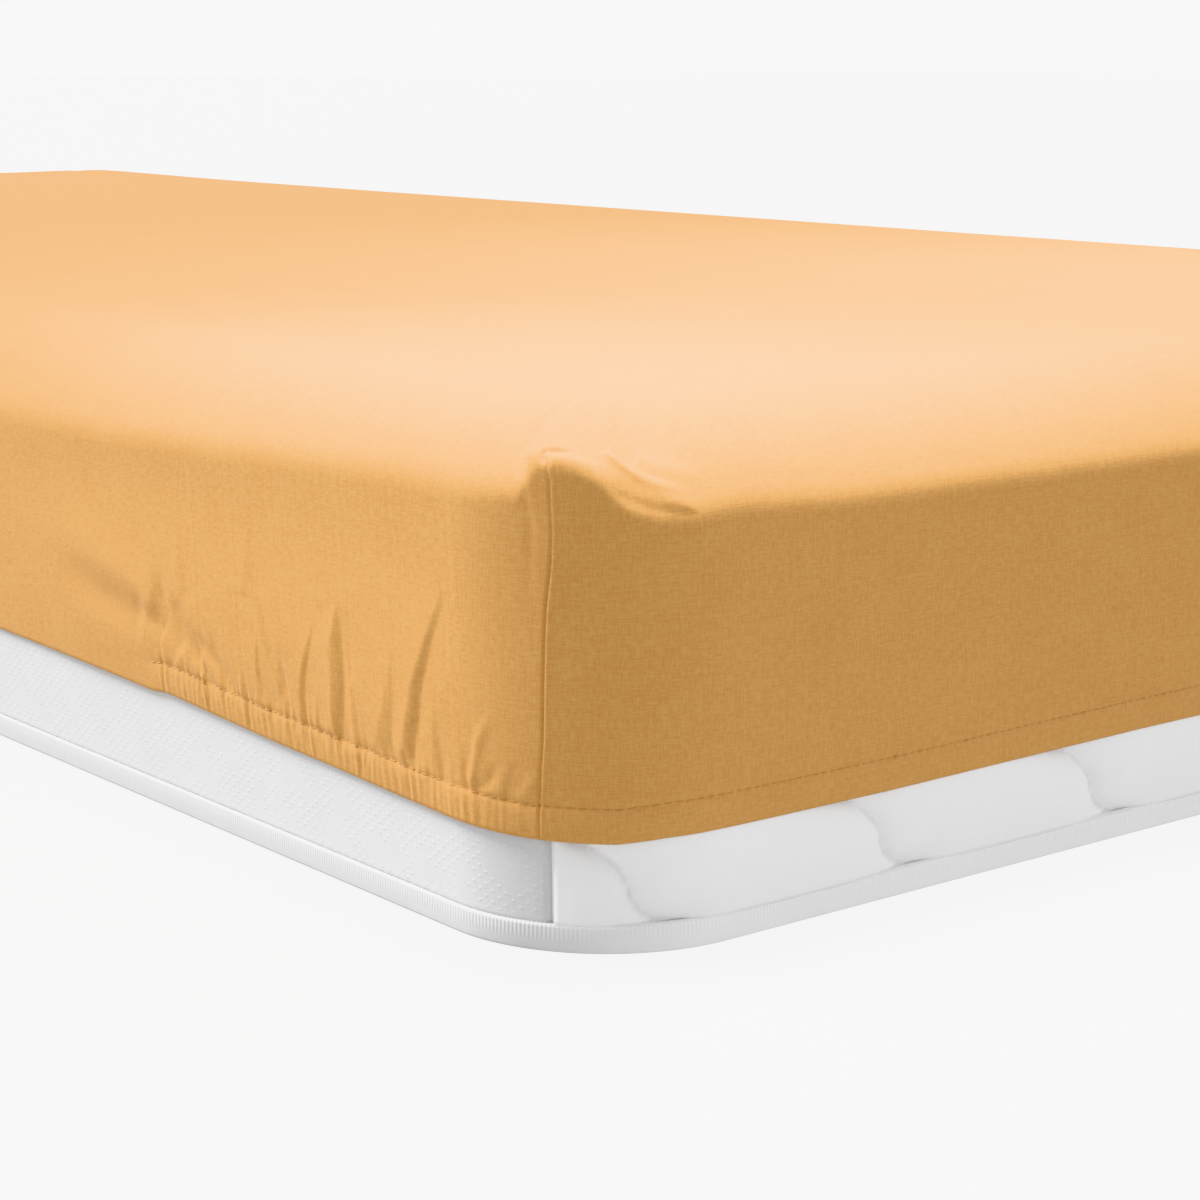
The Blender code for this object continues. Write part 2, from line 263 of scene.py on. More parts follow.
def crown_at(x, y):
    across = np.maximum(1 - (x / (HALF_WIDTH - EDGE_RADIUS)) ** 2, 0)
    along = np.maximum(1 - (y / (HALF_LENGTH - EDGE_RADIUS)) ** 2, 0)
    return CROWN * across * along


def section_at(up, bend):
    """Inset, height and turn of the side's section, at a distance up along it"""
    bend_from, firm_radius, firm_turn = bend
    gentle_radius = (HEIGHT - bend_from - firm_radius * np.sin(firm_turn)) / (1 - np.sin(firm_turn))
    firm = np.clip((up - bend_from) / firm_radius, 0, firm_turn)
    past = up - bend_from - firm_radius * firm_turn
    gentle = np.clip(past / gentle_radius, 0, math.pi / 2 - firm_turn) + firm_turn
    flat = np.maximum(past - gentle_radius * (math.pi / 2 - firm_turn), 0)
    inset = firm_radius * (1 - np.cos(firm)) + gentle_radius * (np.cos(firm_turn) - np.cos(gentle)) + flat
    height = np.minimum(up, bend_from) + firm_radius * np.sin(firm)
    height = height + gentle_radius * (np.sin(gentle) - np.sin(firm_turn))
    return inset, height, firm + gentle - firm_turn


def skin_at(round_by, up, lift, bend=PLAIN_BEND):
    """Points this far off the mattress's skin"""
    points, outward = outline_at(round_by)
    inset, height, turn = section_at(up, bend)
    swell = BULGE * np.sin(math.pi * np.clip(up / STRAIGHT, 0, 1)) ** 2
    flat = points + outward * (lift * np.cos(turn) - inset + swell)[..., None]
    height = height + lift * np.sin(turn) + crown_at(flat[..., 0], flat[..., 1])
    return np.concatenate((flat, height[..., None]), -1)


def from_corner(round_by):
    """The nearest corner's number, and the distance from it, negative along its long side"""
    away = np.mod(round_by[..., None] - CORNERS + PERIMETER / 2, PERIMETER) - PERIMETER / 2
    corner = np.abs(away).argmin(-1)
    away = np.take_along_axis(away, corner[..., None], -1)[..., 0]
    return corner, np.where(corner % 2, -away, away)


near_tip = skin_at(np.zeros(1), np.full(1, STRAIGHT), np.zeros(1))[0]
print("near corner", near_tip.round(3))


# %% [markdown]
# ## A net of rings
#
# The mattress and the sheet are both nets: rings of points one above another, joined by four-sided
# faces, and a flat net of triangles that closes the top inside the last ring. The columns of the
# rings stand close together where the surface is busy and far apart along a plain side, so that
# the points go where they show.

# %% Helpers for nets
def steps(low, high, step):
    """Even places from low up to but not including high"""
    return np.linspace(low, high, max(round((high - low) / step), 1), endpoint=False)


def columns(near, far):
    """Places round the outline. Each row of a table is a stretch of a corner and its spacing"""
    places = []
    for corner, middle in enumerate(CORNERS):
        for low, high, step in near if corner == 0 else far:
            places.append(middle + (-1) ** corner * steps(low, high, step))
    return np.unique(np.mod(np.concatenate(places), PERIMETER).round(6))


def top_net(rim, step, height_at):
    """The rim's inside as new points and triangles, which are numbered from the rim's own"""
    inside = [
        Vector((x, y))
        for x in steps(-HALF_WIDTH + RIM_INSET + step, HALF_WIDTH - RIM_INSET, step)
        for y in steps(-HALF_LENGTH + RIM_INSET + step, HALF_LENGTH - RIM_INSET, step)
    ]
    edges = [(i, (i + 1) % len(rim)) for i in range(len(rim))]
    corners = [Vector(point) for point in rim[:, :2]]
    points, _, faces, *_ = delaunay_2d_cdt(corners + inside, edges, [], 1, 1e-6)
    added = np.array([point[:] for point in points[len(rim) :]])
    height = height_at(added[:, 0], added[:, 1])
    return np.column_stack((added, height)), [list(face) for face in faces]


def closed_net(rings, step, height_at):
    """Points, side faces and top faces of a net over rings of as many points each"""
    rows, count = rings.shape[:2]
    row, column = np.meshgrid(np.arange(rows - 1), np.arange(count), indexing="ij")
    after = (column + 1) % count
    sides = (row * count + column, row * count + after)
    sides += ((row + 1) * count + after, (row + 1) * count + column)
    inside, top_faces = top_net(rings[-1], step, height_at)
    first_of_top = (rows - 1) * count
    top_faces = [[i + first_of_top for i in face] for face in top_faces]
    points = np.concatenate((rings.reshape(-1, 3), inside))
    return points, np.stack(sides, -1).reshape(-1, 4), top_faces


def middles_of(places):
    """Places halfway from each column to the next"""
    return places + np.append(np.diff(places), PERIMETER - places[-1] + places[0]) / 2


def mesh_object(name, points, faces, materials):
    """A new object with this mesh, shaded smooth, riding on the one body"""
    mesh = bpy.data.meshes.new(name)
    mesh.from_pydata(np.asarray(points).tolist(), [], faces)
    mesh.update()
    mesh.shade_smooth()
    for material in materials:
        mesh.materials.append(material)
    made = bpy.data.objects.new(name, mesh)
    scene.collection.objects.link(made)
    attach(made, "root")
    return made


def write_uv(made, name, places):
    """A UV map from one place for each corner of each face"""
    layer = made.data.uv_layers.new(name=name)
    layer.uv.foreach_set("vector", np.asarray(places, np.float32).reshape(-1))


def round_and_up(round_by, up, faces):
    """UV places for the corners of side faces, which run on past the end where a ring closes"""
    uv = np.stack((round_by.reshape(-1)[faces], up.reshape(-1)[faces]), -1)
    closing = uv[..., 0].max(1, keepdims=True) - uv[..., 0] > PERIMETER / 2
    uv[..., 0] += np.where(closing, PERIMETER, 0.0)
    return uv.reshape(-1, 2)


def triangles_of(made):
    return sum(len(face.vertices) - 2 for face in made.data.polygons)


# %% [markdown]
# ## Cloth as a node group
#
# Cotton percale is two sets of fine threads, crossing over and under. From a step away the single
# threads hardly show: what shows is that some threads are thicker than others, as long faint
# streaks both ways. The group makes a streaky noise along each set of threads and a fine grid of
# the threads themselves, and puts out a tone and a height. It is built once and used for the sheet
# and the mattress's covers with their own numbers. A picture of cloth would be quicker, but would
# blur close up.

# %% The woven cloth group
THREAD_PITCH = 1 / 2400  # of the threads, in metres


def streaks(tree, place, across, along, detail):
    """Noise that is drawn out along the threads"""
    scaled = node_of(tree, "ShaderNodeVectorMath", {1: (across, along, 1.0)}, operation="MULTIPLY")
    tree.links.new(place, scaled.inputs[0])
    noise = node_of(tree, "ShaderNodeTexNoise", {"Scale": 1.0, "Detail": detail, "Roughness": 0.6})
    tree.links.new(scaled.outputs[0], noise.inputs["Vector"])
    return noise.outputs["Fac"]


def axes_of(tree, place):
    """The three numbers of a place"""
    parts = node_of(tree, "ShaderNodeSeparateXYZ")
    tree.links.new(place, parts.inputs[0])
    return parts.outputs


def waves_of(tree, value, pitch):
    """A sine wave from one pitch to the next, from 0 to 1"""
    wave = math_of(tree, "SINE", math_of(tree, "MULTIPLY", value, 2 * math.pi / pitch))
    return math_of(tree, "MULTIPLY_ADD", wave, 0.5, 0.5)


woven = bpy.data.node_groups.new("woven_cloth", "ShaderNodeTree")
for name, way, kind in (
    ("Place", "INPUT", "Vector"),
    ("Slubs", "INPUT", "Float"),
    ("Tone", "OUTPUT", "Float"),
    ("Height", "OUTPUT", "Float"),
):
    woven.interface.new_socket(name, in_out=way, socket_type="NodeSocket" + kind)
place = node_of(woven, "NodeGroupInput").outputs["Place"]
slubs = place.node.outputs["Slubs"]

warp = streaks(woven, place, 1900.0, 230.0, 1.0)
weft = streaks(woven, place, 230.0, 1900.0, 1.0)
thick = streaks(woven, place, 900.0, 40.0, 0.0)
thick = math_of(woven, "ADD", thick, streaks(woven, place, 40.0, 900.0, 0.0))
threads = math_of(woven, "ADD", warp, weft)  # about 1 on average, and so is thick
threads = math_of(woven, "SUBTRACT", threads, 1.0)
thick = math_of(woven, "MULTIPLY", math_of(woven, "SUBTRACT", thick, 1.0), 0.25)
uneven = math_of(woven, "MULTIPLY", math_of(woven, "ADD", threads, thick), slubs)
over, under = (waves_of(woven, axis, THREAD_PITCH) for axis in axes_of(woven, place)[:2])
crossed = math_of(woven, "MULTIPLY", over, under)
cloudy = math_of(woven, "SUBTRACT", streaks(woven, place, 28.0, 28.0, 2.0), 0.5)
tone = math_of(woven, "ADD", math_of(woven, "MULTIPLY_ADD", cloudy, 0.55, uneven), 0.5)
height = math_of(woven, "ADD", uneven, math_of(woven, "MULTIPLY", crossed, 0.25))
woven_out = node_of(woven, "NodeGroupOutput")
woven.links.new(tone, woven_out.inputs["Tone"])
woven.links.new(height, woven_out.inputs["Height"])
print("woven_cloth", len(woven.nodes), "nodes")


def uv_in_metres(tree, uv_name, metres):
    """Places on a UV map of this many metres a side"""
    uv = node_of(tree, "ShaderNodeUVMap", uv_map=uv_name)
    scaled = node_of(tree, "ShaderNodeVectorMath", {1: (metres,) * 3}, operation="MULTIPLY")
    tree.links.new(uv.outputs[0], scaled.inputs[0])
    return scaled.outputs[0]


def cloth_in(tree, place, slubs):
    """Puts the group in a material, and gives its tone and height"""
    cloth = node_of(tree, "ShaderNodeGroup", node_tree=woven)
    cloth.inputs["Slubs"].default_value = slubs
    tree.links.new(place, cloth.inputs["Place"])
    return cloth.outputs["Tone"], cloth.outputs["Height"]


def between(tree, amount, dark, light):
    """A colour between two, by a value from 0 to 1"""
    mix = node_of(tree, "ShaderNodeMix", data_type="RGBA")
    mix.inputs[6].default_value = (*dark, 1.0)
    mix.inputs[7].default_value = (*light, 1.0)
    tree.links.new(amount, mix.inputs[0])
    return mix.outputs[2]


def tint(tree, shader, amount, dark, light):
    tree.links.new(between(tree, amount, dark, light), shader.inputs["Base Color"])


def bump_from(tree, height, shader, distance):
    """Raises the surface by a height, times this distance in metres"""
    bump = node_of(tree, "ShaderNodeBump", {"Strength": 1.0, "Distance": distance})
    tree.links.new(height, bump.inputs["Height"])
    tree.links.new(bump.outputs["Normal"], shader.inputs["Normal"])


# %% [markdown]
# ## The mattress
#
# Only the lowest 50 mm of the mattress shows, but it carries the whole part. Its side is knitted,
# with small raised knots in slanting rows. Its foot end is a smooth cloth quilted to the filling
# along waving lines, so the cloth between two lines puffs out, and a seam closes it at the corner.
# The waves are measured on one line and repeated at the pitch of the quilting machine. Each point
# then sinks by how near it is to a line, which a boolean or a crease by hand couldn't do as evenly.

# %% Quilting of the foot end
def mm(*numbers):
    """A table of two columns in metres, from its numbers in millimetres, row by row"""
    return np.array(numbers).reshape(-1, 2) / 1000


QUILT_LINE = mm(
    # round, up, both from where the line crosses the tape
    22, 10, 12, 12, 6, 14.5, 2.5, 18, 0.5, 22.5, -1, 28, -5, 33.5, -12, 39, -20, 44.5, -29, 50, -35, 57,
    -37, 66, -36, 75,
)
QUILT_PITCH = 0.1235
QUILT_FIRST = 0.0165  # round, of the first line
QUILT_SINK = 0.0042
QUILT_PUFF = 0.0010
QUILT_REACH = 0.0085
QUILT_STITCH = 0.0013  # the groove that the thread itself pulls
QUILT_STITCH_WIDTH = 0.0016
QUILT_ENDS = (0.090, 0.060)  # up; it fades out under the sheet


def distance_to(line, x, y):
    """Distance from each place to a line of points"""
    nearest = np.full(x.shape, np.inf)
    for (from_x, from_y), (to_x, to_y) in zip(line[:-1], line[1:]):
        run_x, run_y = to_x - from_x, to_y - from_y
        held = ((x - from_x) * run_x + (y - from_y) * run_y) / (run_x**2 + run_y**2)
        held = np.clip(held, 0, 1)
        nearest = np.minimum(nearest, np.hypot(x - from_x - held * run_x, y - from_y - held * run_y))
    return nearest


def quilting(along, up):
    """How far the quilted cloth stands off the skin of an end panel"""
    nearest = np.full(along.shape, np.inf)
    for line in range(-1, 8):
        shifted = QUILT_LINE + (QUILT_FIRST + line * QUILT_PITCH, 0.0)
        nearest = np.minimum(nearest, distance_to(shifted, along, up))
    sunk = QUILT_SINK * np.exp(-nearest / QUILT_REACH)
    stitch = QUILT_STITCH * hump(nearest, QUILT_STITCH_WIDTH)
    return (QUILT_PUFF - sunk - stitch) * smooth(*QUILT_ENDS, up)


print("quilt lines", QUILT_PITCH * 1000, "mm apart")

# %% The mattress's mesh
TAPE_HEIGHT = 0.0110
TAPE_THICKNESS = 0.0050
TAPE_PROUD = 0.0012
TAPE_FLOOR_GAP = 0.0004
FIT_GAP = 0.0003
TAPE_LAP = 0.0010  # the cover runs on behind the tape, in which it is sewn
MATTRESS_SEAM = -0.0130  # round, from the corner's middle
GROOVE_DEPTH, GROOVE_WIDTH = 0.0022, 0.0012  # of that seam
LIP_RISE, LIP_WIDTH, LIP_OFF = 0.0006, 0.0018, 0.0028  # of the quilted panel's edge beside it
SEAM_HIDDEN = (0.105, 0.080)  # up; that seam fades out under the sheet
COVER_STEP = 0.090  # of the flat net on top, which the sheet hides
MATTRESS_NEAR = (
    # from, to, spacing
    (-0.9845, -0.4500, 0.0500),
    (-0.4500, -0.0600, 0.0250),
    (-0.0600, -0.0200, 0.0040),
    (-0.0200, -0.0050, 0.0010),
    (-0.0050, 0.4345, 0.0022),
)
MATTRESS_FAR = (
    (-0.9845, -0.0600, 0.0500),
    (-0.0600, -0.0200, 0.0050),
    (-0.0200, -0.0050, 0.0015),
    (-0.0050, 0.4345, 0.0040),
)

foot = TAPE_HEIGHT + TAPE_FLOOR_GAP - TAPE_LAP
rebate = TAPE_THICKNESS - TAPE_PROUD + FIT_GAP
places = columns(MATTRESS_NEAR, MATTRESS_FAR)
side_rows = np.concatenate((steps(foot + 0.0004, 0.066, 0.0020), steps(0.066, STRAIGHT, 0.014)))
edge_rows = np.append(steps(STRAIGHT, STRAIGHT + EDGE_ARC, 0.0075), (STRAIGHT + EDGE_ARC, RIM_UP))
up, round_by = np.meshgrid(np.append(side_rows, edge_rows), places, indexing="ij")
corner, away = from_corner(round_by)
on_end = away > MATTRESS_SEAM
seam_off = away - MATTRESS_SEAM
end_along = np.where(corner % 2, CORNERS[1] - away, away)
shown = smooth(*SEAM_HIDDEN, up)
lift = np.where(on_end, quilting(end_along, up) * smooth(0.0, 0.008, seam_off), 0.0)
lift += shown * LIP_RISE * hump(seam_off - LIP_OFF, LIP_WIDTH)
lift -= shown * GROOVE_DEPTH * hump(seam_off, GROOVE_WIDTH)
walls = skin_at(round_by, up, lift)
print("mattress rings", walls.shape[0], "of", walls.shape[1], "points")

# %% The mattress's underside and top
edge, outward = outline_at(places)
lower = []
for inset, rise in ((0.009, 0.0), (rebate + 0.001, 0.001), (rebate, 0.003), (rebate, foot - 0.0005)):
    lower.append(np.column_stack((edge - outward * inset, np.full(len(places), rise))))
rings = np.concatenate((lower, walls))
all_points, side_faces, top_faces = closed_net(rings, COVER_STEP, lambda x, y: HEIGHT + crown_at(x, y))
underside = list(range(len(places)))[::-1]
all_faces = side_faces.tolist() + top_faces + [underside]
print("mattress points", len(all_points))

# %% [markdown]
# The two cloths of the mattress differ in finish, and their colours carry painted light: the knit
# along the lit long side is painted greyer, and the quilted cloth across the shaded foot end whiter.
# The knit is matt, with rows of small raised knots, which are also painted lighter as highlights. The
# quilted cloth is smoother and a little glossy. Both read the UV map, whose sides are real metres, so
# the knots follow the side round the corner.

# %% Cover materials
COVER_METRES = 6.0  # one side of the UV map
KNOT_ROWS = 0.0046  # between rows of knots
KNOT_SLANT = 0.0062
KNOTS_LEFT_OUT = 0.46  # where a patchy noise is below this
KNIT_RELIEF = 0.00012
PANEL_RELIEF = 0.00006

knit, knit_tree, knit_shader = new_material("mattress_knit", (0.90, 0.90, 0.90), 0.85, 0.25)
knit_place = uv_in_metres(knit_tree, "round_and_up", COVER_METRES)
knit_tone, knit_weave = cloth_in(knit_tree, knit_place, 0.5)
parts = axes_of(knit_tree, knit_place)
across = math_of(knit_tree, "MULTIPLY", parts[0], 2 * math.pi / KNOT_SLANT)
upward = math_of(knit_tree, "MULTIPLY", parts[1], 2 * math.pi / KNOT_ROWS)
one_way = math_of(knit_tree, "COSINE", math_of(knit_tree, "ADD", across, upward))
other_way = math_of(knit_tree, "COSINE", math_of(knit_tree, "SUBTRACT", across, upward))
knots = math_of(knit_tree, "MULTIPLY", math_of(knit_tree, "ADD", one_way, other_way), 0.5)
knots = math_of(knit_tree, "POWER", math_of(knit_tree, "MAXIMUM", knots, 0.0), 3.0)
patches = streaks(knit_tree, knit_place, 55.0, 70.0, 1.0)
knots = math_of(knit_tree, "MULTIPLY", knots, math_of(knit_tree, "GREATER_THAN", patches, KNOTS_LEFT_OUT))
# The knots are raised in the bump, and are also painted lighter, which is a painted highlight.
knit_tone_and_knot_highlights = math_of(knit_tree, "MULTIPLY_ADD", knots, 0.35, knit_tone)
# Painted light: the knit is painted greyer than the quilted cloth, to even out the lamp's light on its
# side.
tint(knit_tree, knit_shader, knit_tone_and_knot_highlights, (0.60, 0.60, 0.605), (0.70, 0.70, 0.705))
knit_height = math_of(knit_tree, "MULTIPLY_ADD", knit_weave, 0.5, knots)
bump_from(knit_tree, knit_height, knit_shader, KNIT_RELIEF)

panel, panel_tree, panel_shader = new_material("mattress_panel", (0.94, 0.94, 0.94), 0.55, 0.15)
panel_place = uv_in_metres(panel_tree, "round_and_up", COVER_METRES)
panel_tone, panel_weave = cloth_in(panel_tree, panel_place, 0.6)
# Painted light: the quilted cloth is painted whiter than the knit, to make up for the shade on the foot
# end.
tint(panel_tree, panel_shader, panel_tone, (0.90, 0.90, 0.905), (0.95, 0.95, 0.955))
bump_from(panel_tree, panel_weave, panel_shader, PANEL_RELIEF)
print("knots every", KNOT_SLANT * 1000, "mm")

# %% The mattress object
mattress = mesh_object("mattress_cover", all_points, all_faces, (knit, panel))
ring_ups = np.concatenate(((-0.008, 0.001, 0.003, foot), side_rows, edge_rows))
cover_up, cover_round = np.meshgrid(ring_ups, places, indexing="ij")
cover_uv = round_and_up(cover_round, cover_up, side_faces)
flat_corners = np.concatenate([np.array(face) for face in all_faces[len(side_faces) :]])
flat_uv = all_points[flat_corners, :2] + COVER_METRES / 2
write_uv(mattress, "round_and_up", np.concatenate((cover_uv, flat_uv)) / COVER_METRES)
side_of = (from_corner(middles_of(places))[1] > MATTRESS_SEAM).astype(int)
slots = np.zeros(len(all_faces), int)
slots[: len(side_faces)] = np.tile(side_of, len(rings) - 1)
mattress.data.polygons.foreach_set("material_index", slots)
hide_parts("mattress")
print(mattress.name, triangles_of(mattress), "triangles")

# %% [markdown]
# ## The binding tape
#
# A woven tape is folded over the raw bottom edge and oversewn. It is a flat band that goes once
# round, so it is made by hand: a plane's corners are rounded, its face is taken away, its border is
# pulled up into a band, and the band is given its thickness. The oversewing is too fine and too
# often repeated for the mesh. It is ribs in the material, which need to know how far along the
# tape a place is, so that distance is written on the corners of its faces. Each corner has its own,
# so that the count can start again from nothing where the band closes.
#
# Like the two cloths that it holds, the tape is painted whiter across the ends than along the sides,
# which is painted light: the foot end lies in shade, and the long side in the lamp's light.

# %% The tape as a band
bpy.ops.object.select_all(action="DESELECT")
bpy.ops.mesh.primitive_plane_add(size=1.0, location=(0.0, 0.0, TAPE_FLOOR_GAP))
tape = bpy.context.object
tape.name = "binding_tape"
tape.scale = (2 * (HALF_WIDTH + TAPE_PROUD), 2 * (HALF_LENGTH + TAPE_PROUD), 1.0)
bpy.ops.object.transform_apply(location=True, rotation=True, scale=True)
bpy.ops.object.mode_set(mode="EDIT")
bpy.ops.mesh.select_all(action="SELECT")
bpy.ops.mesh.bevel(offset=CORNER_RADIUS + TAPE_PROUD, segments=24, affect="VERTICES")
bpy.ops.mesh.select_all(action="SELECT")
bpy.ops.mesh.delete(type="ONLY_FACE")
bpy.ops.mesh.select_all(action="SELECT")
bpy.ops.mesh.extrude_edges_move(TRANSFORM_OT_translate={"value": (0.0, 0.0, TAPE_HEIGHT)})
bpy.ops.mesh.select_all(action="SELECT")
bpy.ops.mesh.normals_make_consistent(inside=False)
bpy.ops.object.mode_set(mode="OBJECT")
print("tape band", len(tape.data.polygons), "faces")

# %% Thickness and soft edges
for kind, settings in (
    ("SOLIDIFY", {"thickness": TAPE_THICKNESS, "offset": -1.0}),
    ("BEVEL", {"width": 0.0014, "segments": 4, "limit_method": "ANGLE", "angle_limit": math.radians(50)}),
):
    modifier = tape.modifiers.new(kind.lower(), kind)
    for name, value in settings.items():
        setattr(modifier, name, value)
    bpy.ops.object.modifier_apply(modifier=modifier.name)
tape.data.shade_smooth()
print("tape", triangles_of(tape), "triangles")

# %% Distance along the tape, and its material
RIB_PITCH = 0.0017
RIB_RELIEF = 0.0003
SEWN_FROM, SEWN_TO = 0.0045, 0.0070  # height over which the oversewing starts
SHADED_END_FROM = HALF_LENGTH - 0.040  # along Y; beyond it, at both ends, the tape is painted whiter: painted light for the shaded foot end


def round_of(place):
    """How far round the outline a place near it is"""
    corner = (place.x > 0) ^ (3 * (place.y > 0))
    off_x = abs(place.x) - HALF_WIDTH + CORNER_RADIUS
    off_y = abs(place.y) - HALF_LENGTH + CORNER_RADIUS
    sides = (off_x, off_y) if corner % 2 else (off_y, off_x)
    turned = math.atan2(max(sides[0], 0), max(sides[1], 0)) - math.pi / 4
    return CORNERS[corner] + CORNER_RADIUS * turned + max(-sides[1], 0) - max(-sides[0], 0)


along = []
for face in tape.data.polygons:
    here = [round_of(tape.data.vertices[i].co) for i in face.vertices]
    along += [value - PERIMETER if value - min(here) > PERIMETER / 2 else value for value in here]
tape.data.attributes.new("along", "FLOAT", "CORNER").data.foreach_set("value", along)

ribbed, ribbed_tree, ribbed_shader = new_material("mattress_tape", (0.80, 0.80, 0.80), 0.7, 0.2)
measure = node_of(ribbed_tree, "ShaderNodeAttribute", attribute_name="along")
ribs = waves_of(ribbed_tree, measure.outputs["Fac"], RIB_PITCH)
at = node_of(ribbed_tree, "ShaderNodeTexCoord").outputs["Object"]
_, at_length, at_height = axes_of(ribbed_tree, at)
sewn = node_of(ribbed_tree, "ShaderNodeMapRange", {1: SEWN_FROM, 2: SEWN_TO})
ribbed_tree.links.new(at_height, sewn.inputs[0])
patchy = streaks(ribbed_tree, at, 38.0, 38.0, 2.0)
oversewn = math_of(ribbed_tree, "MULTIPLY", ribs, sewn.outputs[0])
oversewn = math_of(ribbed_tree, "MULTIPLY", oversewn, patchy)
shaded_end_share = node_of(ribbed_tree, "ShaderNodeMapRange", {1: SHADED_END_FROM, 2: HALF_LENGTH})
ribbed_tree.links.new(math_of(ribbed_tree, "ABSOLUTE", at_length), shaded_end_share.inputs[0])
# Painted light: the tape is painted greyer along the lit long sides and whiter across the ends, where the
# foot end lies in shade.
lit_side_tape = between(ribbed_tree, patchy, (0.61, 0.61, 0.62), (0.68, 0.68, 0.69))
shaded_end_tape_whitened = between(ribbed_tree, patchy, (0.88, 0.88, 0.885), (0.96, 0.96, 0.965))
tape_colour_with_painted_light = node_of(ribbed_tree, "ShaderNodeMix", data_type="RGBA")
for socket, source in ((0, shaded_end_share.outputs[0]), (6, lit_side_tape), (7, shaded_end_tape_whitened)):
    ribbed_tree.links.new(source, tape_colour_with_painted_light.inputs[socket])
ribbed_tree.links.new(tape_colour_with_painted_light.outputs[2], ribbed_shader.inputs["Base Color"])
bump_from(ribbed_tree, oversewn, ribbed_shader, RIB_RELIEF)
tape.data.materials.append(ribbed)
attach(tape, "root")
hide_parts("mattress_tape")
print("ribs every", RIB_PITCH * 1000, "mm")

# %% [markdown]
# ## The sheet: where it is held
#
# The sheet is cut flat: the top, and a drop on each side. At the hem the cloth turns up 13.5 mm
# inside itself and is sewn down, and elastic runs in that casing across both ends and a hand's
# length along the long sides. The hem rides up a little where there is no elastic. All of this
# could be found by a cloth simulation, but the photo's own creases could not, so the sheet is laid
# on the skin and its folds are placed one by one.

# %% Hem, casing and slack
CLEAR_SIDE = 0.0022  # between the cloth and the mattress's sides and rounded edges
CLEAR_TOP = 0.0007  # between the cloth and the top that it lies on
TOP_BLEND = 0.060  # from one clearance to the other
HEM_CASING = 0.0135  # hem edge up to the stitch line
CASING_SWELL = 0.0003  # the elastic inside rounds the casing out
STITCH_DRAW = 0.0004  # the stitches draw the cloth in
STITCH_REACH = 0.0010  # either side of their line
SLACK = 0.0012  # how far the gathered cloth stands off the side on average
SLACK_FROM = (0.410, 0.330)  # along a long side; the slack comes in over this stretch
SLACK_TO = (0.045, 0.085)  # and goes out over this one, by the corner
SLACK_OVER = (0.150, 0.090)  # up; it goes out above
SLACK_UNDER = (0.040, 0.085)  # and below
HOLD_IN = 0.0006  # the elastic draws the foot of a long side nearer to the mattress
HOLD_ROUND = (-0.020, -0.070)
HOLD_UP = (0.120, 0.060)
RIPPLE = 0.00042  # height of the larger ruffles that the elastic makes
RIPPLE_PITCH = 0.0064  # and from one to the next, on average
RIPPLE_LEAN = 0.12
RIPPLE_OVER = 0.014  # they run on this far above the stitches
TUCK = 0.0001  # how far the casing leans in towards its edge
CASING_FROM = -0.280  # round, where the elastic starts on a long side
ELASTIC_EASE = 0.006  # its pull comes in over this much either side

HEM = mm(
    # round, height above the floor
    -920, 58.5, -500, 57.1, -370, 54.9, -300, 53.2, -284, 52.7, -272, 53.9, -262, 53.5, -188, 49.9,
    -135, 48.2, -97, 46.7, -60, 45.5, -45, 45.3, -30, 44.7, -15, 44.2, 12, 43.5, 30, 45.2, 50, 45.8,
    85, 45.6, 137, 45.5, 215, 46.3, 287, 47.1, 400, 47.1,
)

# How tightly the elastic gathers the cloth, from 0 to 1
GATHERED = np.array((
    # round, share
    (-0.284, 0.0), (-0.274, 0.7), (-0.240, 1.0), (-0.060, 1.0), (-0.024, 0.6),
    (0.000, 0.16), (0.110, 0.12), (0.150, 0.40), (0.420, 0.50),
))


def read_table(table, value):
    return np.interp(value, table[:, 0], table[:, 1])


print("hem", HEM[:, 1].min() * 1000, "to", HEM[:, 1].max() * 1000, "mm above the floor")

# %% [markdown]
# ## The sheet: its creases
#
# A crease runs from its foot, at the elastic that makes it, to its head, where it fades into the
# stretched cloth. A deep one is a fold: the cloth laps over itself a little, so one flank is a steep
# wall. A shallow one is an even trough or ridge. Each row of the tables is one crease of the near
# corner, in distances round and up. Those by the seam's top belong to the ear that it pulls up.
# The far corners aren't seen, and are finished with a plainer set.

